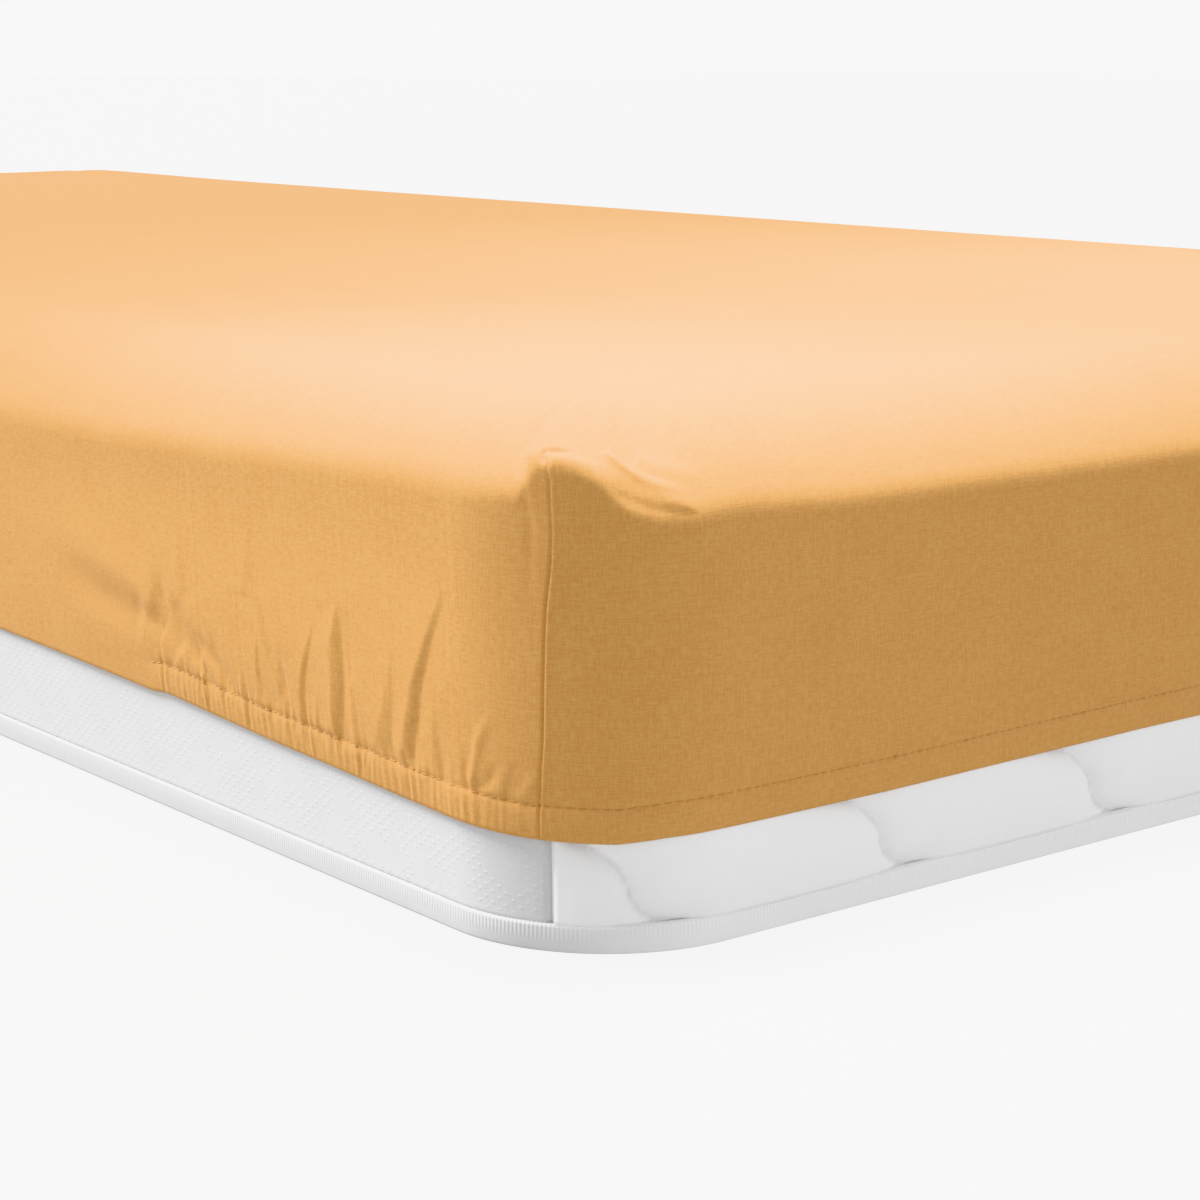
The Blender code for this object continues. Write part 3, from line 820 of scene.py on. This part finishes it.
# %% Tables of creases
FOLDS = (
    # path of its wall's foot, round and up; width of the wall, its fall, and the share that tapers
    (mm(-131, 57, -129, 70, -127.9, 83, -128.4, 93, -130, 105, -133.1, 114), 0.0065, 0.0026, 0.25),
    (mm(-83.8, 57, -81.5, 64, -79.8, 71, -76.4, 82, -75.2, 92, -71.5, 103, -68.4, 113, -63.7, 124,
        -61, 132), 0.0056, 0.0024, 0.70),
    (mm(-97.5, 57, -95.7, 66, -93.9, 73, -91.9, 85, -92.6, 95, -94, 104), 0.0105, 0.0019, 1.0),
    (mm(-112, 57, -114.9, 65, -117.6, 70, -120.3, 78, -122.5, 85), 0.0060, 0.0016, 1.0),
    (mm(-155.5, 57, -155.8, 67, -156.2, 73, -155.8, 81, -154, 88, -150.5, 98, -149, 106),
     0.0030, 0.0013, 0.60),
    (mm(-182.5, 57, -184, 66, -186.4, 69, -190, 75, -190.8, 81, -191.4, 86, -191.4, 93),
     0.0026, 0.0011, 0.60),
    (mm(-61.9, 57, -63.7, 70, -65.2, 78, -66.5, 86), 0.0040, 0.0014, 0.80),
    (mm(-70.8, 55, -69.8, 62, -71.7, 66, -75.8, 70), 0.0028, 0.0010, 0.60),
    (mm(-29, 56, -27, 66, -25.5, 74), 0.0036, 0.0008, 0.80),
    (mm(-145, 57, -145.5, 66, -146.6, 76), 0.0030, 0.0010, 0.80),
    (mm(-201, 57, -203, 64, -205, 72), 0.0024, 0.0008, 0.80),
    (mm(-248, 98, -250, 104, -256, 125), 0.0080, 0.0008, 0.80),
    (mm(-195, 110, -197, 120, -200, 135), 0.0070, 0.0007, 0.80),
)
SOFT_CREASES = (
    # path from the elastic on, width, rise (a trough where it is negative)
    (mm(-44.5, 57, -42.9, 69, -41, 79, -36.9, 87, -34, 91), 0.0014, 0.0008),
    (mm(-50, 57, -47.5, 67, -45, 77), 0.0016, -0.0005),
    (mm(-50, 58.5, -47.4, 59.7, -37.5, 62.7, -33.2, 68.7, -30, 73.5), 0.0013, -0.0007),
    (mm(-23.5, 57, -16.5, 71), 0.0016, 0.0005),
    (mm(-121.8, 88, -122.8, 95, -126, 102), 0.0009, -0.0004),
    (mm(-162.5, 57, -164.1, 64, -166.5, 67, -171.7, 75, -173.6, 82, -174.5, 92), 0.0020, -0.0009),
    (mm(-169, 71, -173.8, 79, -178, 83, -183.2, 92, -188, 102, -190.7, 109, -194, 122), 0.0020, -0.0009),
    (mm(-173, 71, -178, 80, -183, 86, -187.5, 94, -192, 103, -194.5, 110), 0.0016, 0.0006),
    (mm(-205, 57, -206.6, 61, -209, 64, -214.2, 69, -218, 76), 0.0018, -0.0009),
    (mm(-216, 70, -219.2, 74, -223.4, 78, -226.4, 83, -229, 91), 0.0016, -0.0008),
    (mm(-215.5, 63, -218.8, 68, -223.6, 73, -231.3, 79, -239.5, 84, -245, 88), 0.0020, -0.0011),
    (mm(-220, 63, -224, 69, -229, 73, -237, 79), 0.0016, 0.0006),
    (mm(-228, 59, -230.6, 65, -236.6, 71, -243.8, 77, -249.9, 81, -256, 85), 0.0023, -0.0012),
    (mm(-232, 59, -236, 66, -243, 72, -249, 76), 0.0017, 0.0006),
    (mm(-237, 75, -242.9, 81, -252, 86, -258, 93, -264, 102), 0.0030, -0.0011),
    (mm(-254, 74, -259.9, 81, -264.5, 85, -270.2, 95, -272.9, 100, -278, 114), 0.0041, -0.0014),
    (mm(-268, 81, -275.4, 85, -282.8, 86, -289.6, 89, -298, 94), 0.0035, -0.0010),
    (mm(-285, 84, -302.4, 88, -327.4, 90, -375, 102), 0.0070, -0.0014),
    (mm(-272, 92, -289, 98, -325.4, 106, -370, 118), 0.0080, 0.0011),
    (mm(-272, 54, -272.3, 63, -272, 72), 0.0015, -0.0007),
    (mm(-264, 58, -264.5, 74), 0.0020, -0.0007),
    (mm(-256, 56, -255, 74), 0.0019, -0.0008),
    (mm(-247, 57, -250, 71), 0.0019, -0.0007),
    (mm(-240, 58, -244, 68), 0.0018, -0.0006),
    (mm(-272, 66.5, -286, 65.5, -300, 63), 0.0030, -0.0003),
)
EAR_CREASES = (
    # path, width, rise
    (mm(-23.2, 190, -23, 181, -21.8, 175.7, -20.4, 168.4, -19.1, 162.2, -18.9, 135), 0.0010, -0.0005),
    (mm(-13.8, 183.8, -15, 185.5, -15.3, 186.6, -14.6, 187.6, -12.3, 187.8, -8.8, 188, -3, 188),
     0.0007, -0.0010),
    (mm(-12.8, 185, -6.9, 184.7, -1.5, 183.8, 3.2, 182, 6.2, 179.7), 0.0013, 0.0006),
    (mm(4.9, 190.8, 9.5, 187.5, 15.4, 183.1, 20.3, 179.7, 26.6, 176.5, 34.7, 174.1, 43.4, 171),
     0.0012, 0.0009),
    (mm(20, 189, 28, 184.5, 38, 181, 52, 177.5), 0.0030, 0.0007),
)
EAR_FOLD = (
    mm(0, 181.5, 3, 179.8, 8, 176.2, 12.8, 172.7, 18.2, 170, 25, 167.5, 33.4, 166, 42.2, 164.8),
    0.0090, 0.0026, 0.60,
)
FAR_FOLDS = (
    (mm(-76, 56, -72, 80, -64, 108), 0.0090, 0.0018, 0.50),
    (mm(-118, 56, -120, 90, -124, 112), 0.0100, 0.0020, 0.40),
    (mm(-166, 56, -168, 80, -172, 98), 0.0080, 0.0013, 0.60),
    (mm(-214, 56, -224, 80, -240, 104), 0.0090, 0.0012, 0.70),
    (mm(-262, 64, -276, 86, -300, 108), 0.0130, 0.0012, 0.80),
)
TOP_BANDS = (
    # path along X and Y, width, rise
    (mm(-330, -360, -250, -440), 0.026, 0.0014),
    (mm(-370, -470, -270, -370), 0.018, 0.0010),
    (mm(-150, -120, -30, -220), 0.030, 0.0016),
    (mm(-390, -790, -330, -800), 0.016, 0.0008),
    (mm(-320, -600, -270, -635), 0.018, 0.0008),
    (mm(60, -560, 210, -700), 0.026, 0.0012),
    (mm(250, 120, 360, 240), 0.028, 0.0012),
    (mm(-240, 420, -100, 520), 0.030, 0.0014),
    (mm(120, 620, 240, 780), 0.024, 0.0010),
)
EAR_FROM = (0.002, 0.014)  # round; the ear's fold comes in over this stretch
FOLD_EASE = 0.010  # the cloth eases back to its level over this distance, either side of a fold
FADES_IN = 0.10  # the share of its length over which a crease comes in
FADES_OUT = 0.45  # and a soft one goes out


def off_path(x, y, path):
    """Distance off a path, positive on its right, and the share of the path that is passed"""
    runs = np.diff(path, axis=0)
    lengths = np.hypot(runs[:, 0], runs[:, 1])
    nearest = np.full(np.shape(x), np.inf)
    held = np.zeros(np.shape(x))
    side = np.ones(np.shape(x))
    for start, run, length, done in zip(path, runs, lengths, np.cumsum(lengths) - lengths):
        share = np.clip(((x - start[0]) * run[0] + (y - start[1]) * run[1]) / length**2, 0, 1)
        off_x, off_y = x - start[0] - share * run[0], y - start[1] - share * run[1]
        away = np.hypot(off_x, off_y)
        closer = away < nearest
        nearest = np.where(closer, away, nearest)
        held = np.where(closer, done + share * length, held)
        side = np.where(closer, np.sign(run[1] * off_x - run[0] * off_y), side)
    return nearest * side, held / lengths.sum()


def fold(x, y, row):
    """Cloth that laps from the left: it rises to a brow, drops down a wall, and eases back"""
    path, wall, fall, tapers = row
    off, held = off_path(x, y, path)
    size = np.clip((1 - held) / tapers, 0, 1) ** 0.7 * smooth(0, FADES_IN, held)
    wall = wall * np.maximum(size, 0.15)
    up_wall = np.clip(-off / wall, 0, 1)
    height = up_wall * (1.4 - 0.4 * up_wall) - 0.5
    eased = np.exp(-np.maximum(np.maximum(off, -off - wall), 0) / FOLD_EASE)
    return fall * size * height * eased


def crease(x, y, row):
    """A soft ridge or trough, which fades at both ends"""
    path, width, rise = row
    off, held = off_path(x, y, path)
    fade = smooth(0, FADES_IN, held) * smooth(1.0, 1.0 - FADES_OUT, held)
    return rise * fade * np.exp(-((off / width) ** 2) / 2)


print(len(FOLDS), "folds and", len(SOFT_CREASES), "soft creases at the near corner")

# %% [markdown]
# ## The sheet: the corner seam
#
# Two sides of the sheet are sewn together inside out, so outside the seam is a fine groove where
# the threads hold, with the cloth rolling over the turnings beside it. It leans and waves a little,
# because nobody pulls a sheet on quite straight. At its top the stiff seam holds the cloth out to
# an ear, so there the sheet bends over later and more sharply than the mattress under it does. The
# columns of the net are bent to follow the seam, so that the groove stays crisp.

# %% The seam's path and profile
SEAM_ROUND = -0.014
SEAM_TOP = 0.184
SEAM_REACH = 0.020  # columns about this near to the seam follow it
SEAM_PATH = mm(
    # up, round
    45, -16, 56, -15.8, 71, -15, 82, -14.2, 121, -13.7, 131, -13.3, 138, -12.6, 145, -11.8, 152, -11.3,
    159, -11.1, 172, -11.8, 179, -12, 183, -13.4, 186, -15, 188, -15, 215, -14,
)
LIP = (0.00035, 0.0008, 0.0012)  # rise and width of the cloth's roll beside the seam, and how far off
GROOVE = (0.0008, 0.0005)  # depth and width of the seam
SEAM_EASES = (0.145, 0.155)  # up; the seam is less deep from here, as the ear pulls it open
SEAM_EASE = 0.4
RIDGE_SPREAD = 0.012  # how far the corner's ridge spreads, and how blunt it is
RIDGE_BLUNT = 0.0015
SEAM_RIDGE = mm(
    # up, rise
    45, 0.8, 110, 1.6, 150, 2, 180, 1, 195, 0,
)
SHEET_BEND = np.array((
    # round, where the edge starts, its firm turn's radius, and its turn in degrees
    (-0.600, 0.1560, 0.0215, 32),
    (-0.327, 0.1580, 0.0215, 32),
    (-0.201, 0.1630, 0.0215, 32),
    (-0.094, 0.1672, 0.0215, 32),
    (-0.053, 0.1672, 0.0210, 33),
    (-0.0285, 0.1680, 0.0180, 36),
    (-0.0250, 0.1705, 0.0130, 44),
    (-0.0222, 0.1765, 0.0095, 52),
    (-0.0190, 0.1802, 0.0080, 56),
    (-0.0145, 0.1812, 0.0075, 57),
    (-0.0055, 0.1795, 0.0075, 58),
    (0.0013, 0.1765, 0.0080, 56),
    (0.0055, 0.1742, 0.0085, 52),
    (0.0100, 0.1692, 0.0110, 42),
    (0.016, 0.1643, 0.0130, 40),
    (0.026, 0.1604, 0.0145, 38),
    (0.0415, 0.1585, 0.0185, 34),
    (0.061, 0.1600, 0.0215, 32),
    (0.116, 0.1570, 0.0215, 32),
    (0.400, 0.1565, 0.0215, 32),
))


def sheet_bend(away):
    """The sheet's own edge at a distance from a corner"""
    near_by = away[..., None] + np.linspace(-0.002, 0.002, 5)  # averaged, or the table's steps show
    bend_from, firm_radius, firm_turn = (
        np.interp(near_by, SHEET_BEND[:, 0], SHEET_BEND[:, i]).mean(-1) for i in (1, 2, 3)
    )
    return bend_from, firm_radius, np.radians(firm_turn)


def seam_shift(away, up):
    """Moves the columns near the seam on to its path"""
    return (read_table(SEAM_PATH, up) - SEAM_ROUND) * hump(away - SEAM_ROUND, SEAM_REACH)


def seam_lift(away, up):
    """The rounded ridge of the corner, the groove of the seam and the lip beside it"""
    off = away - read_table(SEAM_PATH, up)
    ridge = read_table(SEAM_RIDGE, up) * np.exp(-np.hypot(off, RIDGE_BLUNT) / RIDGE_SPREAD)
    sewn = smooth(SEAM_TOP + 0.003, SEAM_TOP - 0.002, up)
    sewn = sewn * (1 - SEAM_EASE * smooth(*SEAM_EASES, up))
    lip = LIP[0] * hump(off - LIP[2], LIP[1])
    groove = GROOVE[0] * hump(off, GROOVE[1])
    return ridge + sewn * (lip - groove)


print("seam from", SEAM_PATH[0, 0] * 1000, "to", SEAM_TOP * 1000, "mm up")


# %% How far the sheet stands off
def ripples(away, up, period):
    """Waves round the sheet that are made uneven by adding three, whose lengths don't match"""
    x = (away + RIPPLE_LEAN * up) * 2 * math.pi / period
    waves = np.sin(x) + 0.7 * np.sin(1.37 * x + 1.9) + 0.5 * np.sin(0.61 * x + 0.4)
    return waves * (0.65 + 0.35 * np.sin(0.17 * x + 2.2)) / 1.6


def held_in(away, up):
    """How much nearer to the mattress the foot of a long side is"""
    return HOLD_IN * smooth(*HOLD_ROUND, away) * smooth(*HOLD_UP, up)


def sheet_lift(round_by, up):
    """How far the sheet stands off the skin on a side or a rounded edge"""
    corner, away = from_corner(round_by)
    hem = read_table(HEM, away)
    stitches = hem + HEM_CASING
    elastic = smooth(CASING_FROM - ELASTIC_EASE, CASING_FROM + ELASTIC_EASE, away)
    gathered = read_table(GATHERED, away)
    slack = smooth(*SLACK_FROM, -away) * smooth(*SLACK_TO, -away)
    lift = CLEAR_SIDE + SLACK * slack * smooth(*SLACK_OVER, up) * smooth(*SLACK_UNDER, up)
    lift -= held_in(away, up)
    above = smooth(hem + 0.004, stitches + 0.004, up)
    for rows, make, here in (
        (FOLDS, fold, corner == 0),
        (SOFT_CREASES, crease, corner == 0),
        (FAR_FOLDS, fold, corner > 0),
    ):
        for row in rows:
            lift += make(away, up, row) * above * here
    for row in EAR_CREASES:
        lift += crease(away, up, row)
    lift += fold(away, up, EAR_FOLD) * smooth(*EAR_FROM, away)
    casing = np.clip((up - hem) / HEM_CASING, 0, 1)
    lift += CASING_SWELL * elastic * np.sin(math.pi * casing)
    pulled = smooth(0.0, 0.3, casing) * (0.15 + 0.85 * smooth(stitches + RIPPLE_OVER, stitches, up))
    lift += RIPPLE * gathered * ripples(away, up, RIPPLE_PITCH) * pulled
    lift -= TUCK * (1 - casing)
    lift -= STITCH_DRAW * elastic * hump(up - stitches, STITCH_REACH)
    return lift + seam_lift(away, up)


def top_lift(x, y):
    """How far the sheet stands off the skin on the top"""
    inset = np.minimum(HALF_WIDTH - np.abs(x), HALF_LENGTH - np.abs(y)) - EDGE_RADIUS
    lift = CLEAR_SIDE + (CLEAR_TOP - CLEAR_SIDE) * smooth(0.0, TOP_BLEND, inset)
    for row in TOP_BANDS:
        lift = lift + crease(x, y, row) * smooth(0.0, 0.03, inset)
    return lift


# %% [markdown]
# ## The sheet: its net
#
# The first rings are the turned-up edge inside the casing, then the fold, and then the outside.
# From the stitch line up, each ring keeps its share of the way between the hem and a level line, so
# that the rings follow the hem where it matters and run level higher up.

# %% Rings of the sheet
SHEET_NEAR = (
    # from, to, spacing
    (-0.9845, -0.4500, 0.0400),
    (-0.4500, -0.3000, 0.0060),
    (-0.3000, -0.1000, 0.0009),
    (-0.1000, -0.0180, 0.0011),
    (-0.0180, -0.0100, 0.0005),
    (-0.0100, 0.0500, 0.0009),
    (0.0500, 0.1200, 0.0040),
    (0.1200, 0.3300, 0.0028),
    (0.3300, 0.4345, 0.0130),
)
SHEET_FAR = (
    (-0.9845, -0.4000, 0.0400),
    (-0.4000, -0.3000, 0.0100),
    (-0.3000, -0.0190, 0.0060),
    (-0.0190, -0.0090, 0.0010),
    (-0.0090, 0.0600, 0.0060),
    (0.0600, 0.4345, 0.0150),
)
# The turned-up edge: each ring's height above the hem, and how far it is off the mattress
INSIDE = ((0.0125, 0.0013), (0.0070, 0.0013), (0.0022, 0.0013), (0.0004, 0.0014), (0.0, 0.0017))
CASING_ROWS = (0.0006, 0.002, 0.0035, 0.005, 0.0065, 0.008, 0.0095, 0.011, 0.0122, 0.013)
STITCH_ROWS = (0.0135, 0.0140, 0.0148, 0.016, 0.0177)
LEVEL = 0.130  # up; the rings run level from here
FOLLOW_ROWS = 32  # between the stitch line and the level

places = columns(SHEET_NEAR, SHEET_FAR)
hem = read_table(HEM, from_corner(places)[1])
ups = [hem + above for above, _ in INSIDE] + [hem + above for above in CASING_ROWS + STITCH_ROWS]
ups += [(hem + 0.0195) * (1 - share) + LEVEL * share for share in steps(0, 1, 1 / FOLLOW_ROWS)]
level = np.concatenate((
    steps(LEVEL, 0.158, 0.0035),
    steps(0.158, 0.180, 0.0012),
    steps(0.180, 0.192, 0.0008),
    steps(0.192, STRAIGHT + EDGE_ARC, 0.0042),
    (STRAIGHT + EDGE_ARC, RIM_UP),
))
up = np.concatenate((ups, np.repeat(level[:, None], len(places), axis=1)))
round_by = np.tile(places, (len(up), 1))
corner, away = from_corner(round_by)
round_by = round_by + np.where(corner % 2, -1, 1) * seam_shift(away, up)
lift = sheet_lift(round_by, up)
for row, (above, inside_lift) in enumerate(INSIDE):
    lift[row] = inside_lift - TUCK * (1 - above / HEM_CASING) - held_in(away[row], up[row])
bend = sheet_bend(away)
rest = skin_at(round_by[-2:], up[-2:], np.zeros(up[-2:].shape), [part[-2:] for part in bend])
lift[-2:] = top_lift(rest[..., 0], rest[..., 1])
rings = skin_at(round_by, up, lift, bend)
print("sheet rings", rings.shape[0], "of", rings.shape[1], "points")

# %% The sheet's mesh
TOP_STEP = 0.016

sheet_points, side_faces, top_faces = closed_net(
    rings, TOP_STEP, lambda x, y: HEIGHT + crown_at(x, y) + top_lift(x, y)
)
print("sheet", len(sheet_points), "points")

# %% [markdown]
# ## The sheet laid flat
#
# The threads of the cloth run straight along and across the flat sheet, so the weave has to follow
# the flat cut and not the room. Each face's corners are given their places on the flat sheet: the
# top as it lies, and each side folded out from it. The maps meet at the corner seams, where the
# real cut ends too. An automatic unwrapping would be quicker, but would turn the threads.

# %% Places on the flat sheet
FLAT_METRES = 2.6  # one side of the UV map
PANEL_OUT = np.array(((0, -1), (1, 0), (0, 1), (-1, 0)))


def flat_places(panel, round_by, up, points):
    """Where points of a side lie on the flat sheet. A panel is an end or a long side"""
    out = PANEL_OUT[panel]
    along_way = np.stack((-out[..., 1], out[..., 0]), -1)
    start = CORNERS[panel] + CORNER_ARC / 2
    along = np.mod(round_by - start + PERIMETER / 2, PERIMETER) - PERIMETER / 2
    along = np.where((panel % 2 == 1) & (along < -0.3), along + PERIMETER, along)
    beyond = CORNER_RADIUS - RIM_INSET + RIM_UP - up
    side = CENTRES[panel] + out * beyond[..., None] + along_way * along[..., None]
    near = np.abs(from_corner(round_by)[1])
    share = (smooth(STRAIGHT, RIM_UP, up) * smooth(0.090, 0.050, near))[..., None]
    return side * (1 - share) + points[..., :2] * share


corner, away = from_corner(middles_of(places))
before = np.where(corner % 2, away > SEAM_ROUND, away < SEAM_ROUND)  # still on the side before this corner
panels = (corner - before) % 4
face_panel = np.repeat(np.tile(panels, len(rings) - 1)[:, None], 4, axis=1)
face_round, face_up = round_by.reshape(-1)[side_faces], up.reshape(-1)[side_faces]
face_flat = flat_places(face_panel, face_round, face_up, sheet_points[side_faces])
top_flat = sheet_points[np.array(top_faces).reshape(-1), :2]
flat_uv = np.concatenate((face_flat.reshape(-1, 2), top_flat))
print("flat cut", (flat_uv.max(0) - flat_uv.min(0)).round(3), "m")

# %% [markdown]
# ## The cotton
#
# The sheet is dyed one warm yellow. The streaks of its threads change its tone a little, and its
# fine nap lightens it where it is seen at a slant, which is what Sheen is for. In the casing the
# elastic crumples the cloth. The larger ruffles are in the mesh already. The finest are a wave in
# the bump, which a noise makes drift and come and go, and which only shows where the points say
# that the cloth is gathered.

# %% The cotton's material
COTTON_DARK = (0.610, 0.319, 0.113)
COTTON_LIGHT = (0.677, 0.383, 0.145)
SHEET_SLUBS = 2.1  # how uneven the threads are
WEAVE_HEIGHT = 0.000020
RUFFLE_PITCH = 0.0043
RUFFLE_DRIFT = 0.012  # how far the noise moves a ruffle to a side
RUFFLE_HEIGHT = 0.00016

cotton, tree, shader = new_material("sheet_cotton", COTTON_LIGHT, 0.75, 0.12)
shader.inputs["Sheen Roughness"].default_value = 0.30
shader.inputs["Specular IOR Level"].default_value = 0.10
cotton_tone, cotton_weave = cloth_in(tree, uv_in_metres(tree, "flat_sheet", FLAT_METRES), SHEET_SLUBS)
tint(tree, shader, cotton_tone, COTTON_DARK, COTTON_LIGHT)
gathers = node_of(tree, "ShaderNodeAttribute", attribute_name="ruffled").outputs["Fac"]
around = uv_in_metres(tree, "round_and_up", COVER_METRES)
drift = math_of(tree, "MULTIPLY", streaks(tree, around, 45.0, 25.0, 0.0), RUFFLE_DRIFT)
strength = streaks(tree, around, 130.0, 60.0, 1.0)
phase = math_of(tree, "ADD", axes_of(tree, around)[0], drift)
waves = math_of(tree, "SINE", math_of(tree, "MULTIPLY", phase, 2 * math.pi / RUFFLE_PITCH))
ruffles = math_of(tree, "MULTIPLY", math_of(tree, "MULTIPLY", waves, strength), gathers)
ruffles = math_of(tree, "MULTIPLY", ruffles, RUFFLE_HEIGHT)
bump_from(tree, math_of(tree, "MULTIPLY_ADD", cotton_weave, WEAVE_HEIGHT, ruffles), shader, 1.0)
print("sheet_cotton", len(tree.nodes), "nodes")

# %% The sheet object
sheet = mesh_object("fitted_sheet_cloth", sheet_points, side_faces.tolist() + top_faces, (cotton,))
write_uv(sheet, "flat_sheet", flat_uv / FLAT_METRES + 0.5)
ring_uv = round_and_up(round_by, up, side_faces)
write_uv(sheet, "round_and_up", np.concatenate((ring_uv, np.zeros((len(top_flat), 2)))) / COVER_METRES)

_, away = from_corner(round_by)
hem = read_table(HEM, away)
ruffled = read_table(GATHERED, away) * (
    smooth(hem - 0.001, hem + 0.002, up) * smooth(hem + HEM_CASING + 0.010, hem + HEM_CASING - 0.001, up)
)
ruffled[: len(INSIDE)] = 0.0
ruffled = np.append(ruffled, np.zeros(len(sheet_points) - ruffled.size))
sheet.data.attributes.new("ruffled", "FLOAT", "POINT").data.foreach_set("value", ruffled)
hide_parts("fitted_sheet")
print(sheet.name, triangles_of(sheet), "triangles")

# %% [markdown]
# ## The stitches
#
# One row of lockstitch holds the casing, one stitch to every 4.3 mm. A stitch is a short
# thread that dives into the cloth at both ends. It is modelled once, from a cylinder, and then
# copied along the stitch line, as one mesh: hundreds of separate objects would only be in the way.

# %% One stitch
STITCH_LENGTH = 0.0034
STITCH_PITCH = 0.0043
THREAD_RADIUS = 0.00024
THREAD_PROUD = 0.00006  # how far the thread's middle stands off the cloth

bpy.ops.object.select_all(action="DESELECT")
bpy.ops.mesh.primitive_cylinder_add(
    vertices=6, radius=THREAD_RADIUS, depth=STITCH_LENGTH, rotation=(0.0, math.pi / 2, 0.0)
)
stitch = bpy.context.object
bpy.ops.object.transform_apply(location=True, rotation=True, scale=True)
bpy.ops.object.mode_set(mode="EDIT")
for cut in (-0.25, 0.25):  # two cuts, so that both ends can be bent down
    bpy.ops.mesh.select_all(action="SELECT")
    bpy.ops.mesh.bisect(plane_co=(cut * STITCH_LENGTH, 0.0, 0.0), plane_no=(1.0, 0.0, 0.0))
bpy.ops.object.mode_set(mode="OBJECT")
for vert in stitch.data.vertices:
    if abs(vert.co.x) > 0.4 * STITCH_LENGTH:
        vert.co.z -= 0.9 * THREAD_RADIUS
stitch_points = np.array([vert.co[:] for vert in stitch.data.vertices])
stitch_faces = [list(face.vertices) for face in stitch.data.polygons]
bpy.data.objects.remove(stitch)
print("one stitch", len(stitch_faces), "faces")

# %% The stitch line
runs = [
    steps(CORNERS[first] + CASING_FROM, CORNERS[second] - CASING_FROM, STITCH_PITCH)
    for first, second in ((0, 1), (2, 3))
]
at = np.mod(np.concatenate(runs), PERIMETER)


def stitch_line(at):
    _, away = from_corner(at)
    up = read_table(HEM, away) + HEM_CASING
    return skin_at(at, up, sheet_lift(at, up) + THREAD_PROUD, sheet_bend(away))


middle = stitch_line(at)
reach = 0.0015  # a stitch lies along the line between two places this far before and behind it
forward = stitch_line(np.mod(at + reach, PERIMETER)) - stitch_line(np.mod(at - reach, PERIMETER))
forward /= np.linalg.norm(forward, axis=1, keepdims=True)
outward = np.column_stack((outline_at(at)[1], np.zeros(len(at))))
outward -= forward * (outward * forward).sum(1, keepdims=True)
outward /= np.linalg.norm(outward, axis=1, keepdims=True)
upward = np.cross(outward, forward)
placed = middle[:, None]
for axis, way in enumerate((forward, upward, outward)):
    placed = placed + stitch_points[None, :, axis : axis + 1] * way[:, None]
stitch_all = [
    [i + copy * len(stitch_points) for i in face] for copy in range(len(at)) for face in stitch_faces
]
print(len(stitch_all), "faces of thread")

# %% The stitches as one piece
# The thread is painted darker than the cotton: partly its own colour, partly painted shade of its needle
# holes.
THREAD_DARK = (0.47, 0.24, 0.075)
THREAD_LIGHT = (0.61, 0.335, 0.115)

thread, thread_tree, thread_shader = new_material("sheet_thread", THREAD_LIGHT, 0.6, 0.1)
at_place = node_of(thread_tree, "ShaderNodeTexCoord").outputs["Object"]
coarse = streaks(thread_tree, at_place, 900.0, 900.0, 1.0)
tint(thread_tree, thread_shader, coarse, THREAD_DARK, THREAD_LIGHT)
stitches = mesh_object("hem_stitches", placed.reshape(-1, 3), stitch_all, (thread,))
print(len(at), "stitches,", triangles_of(stitches), "triangles")
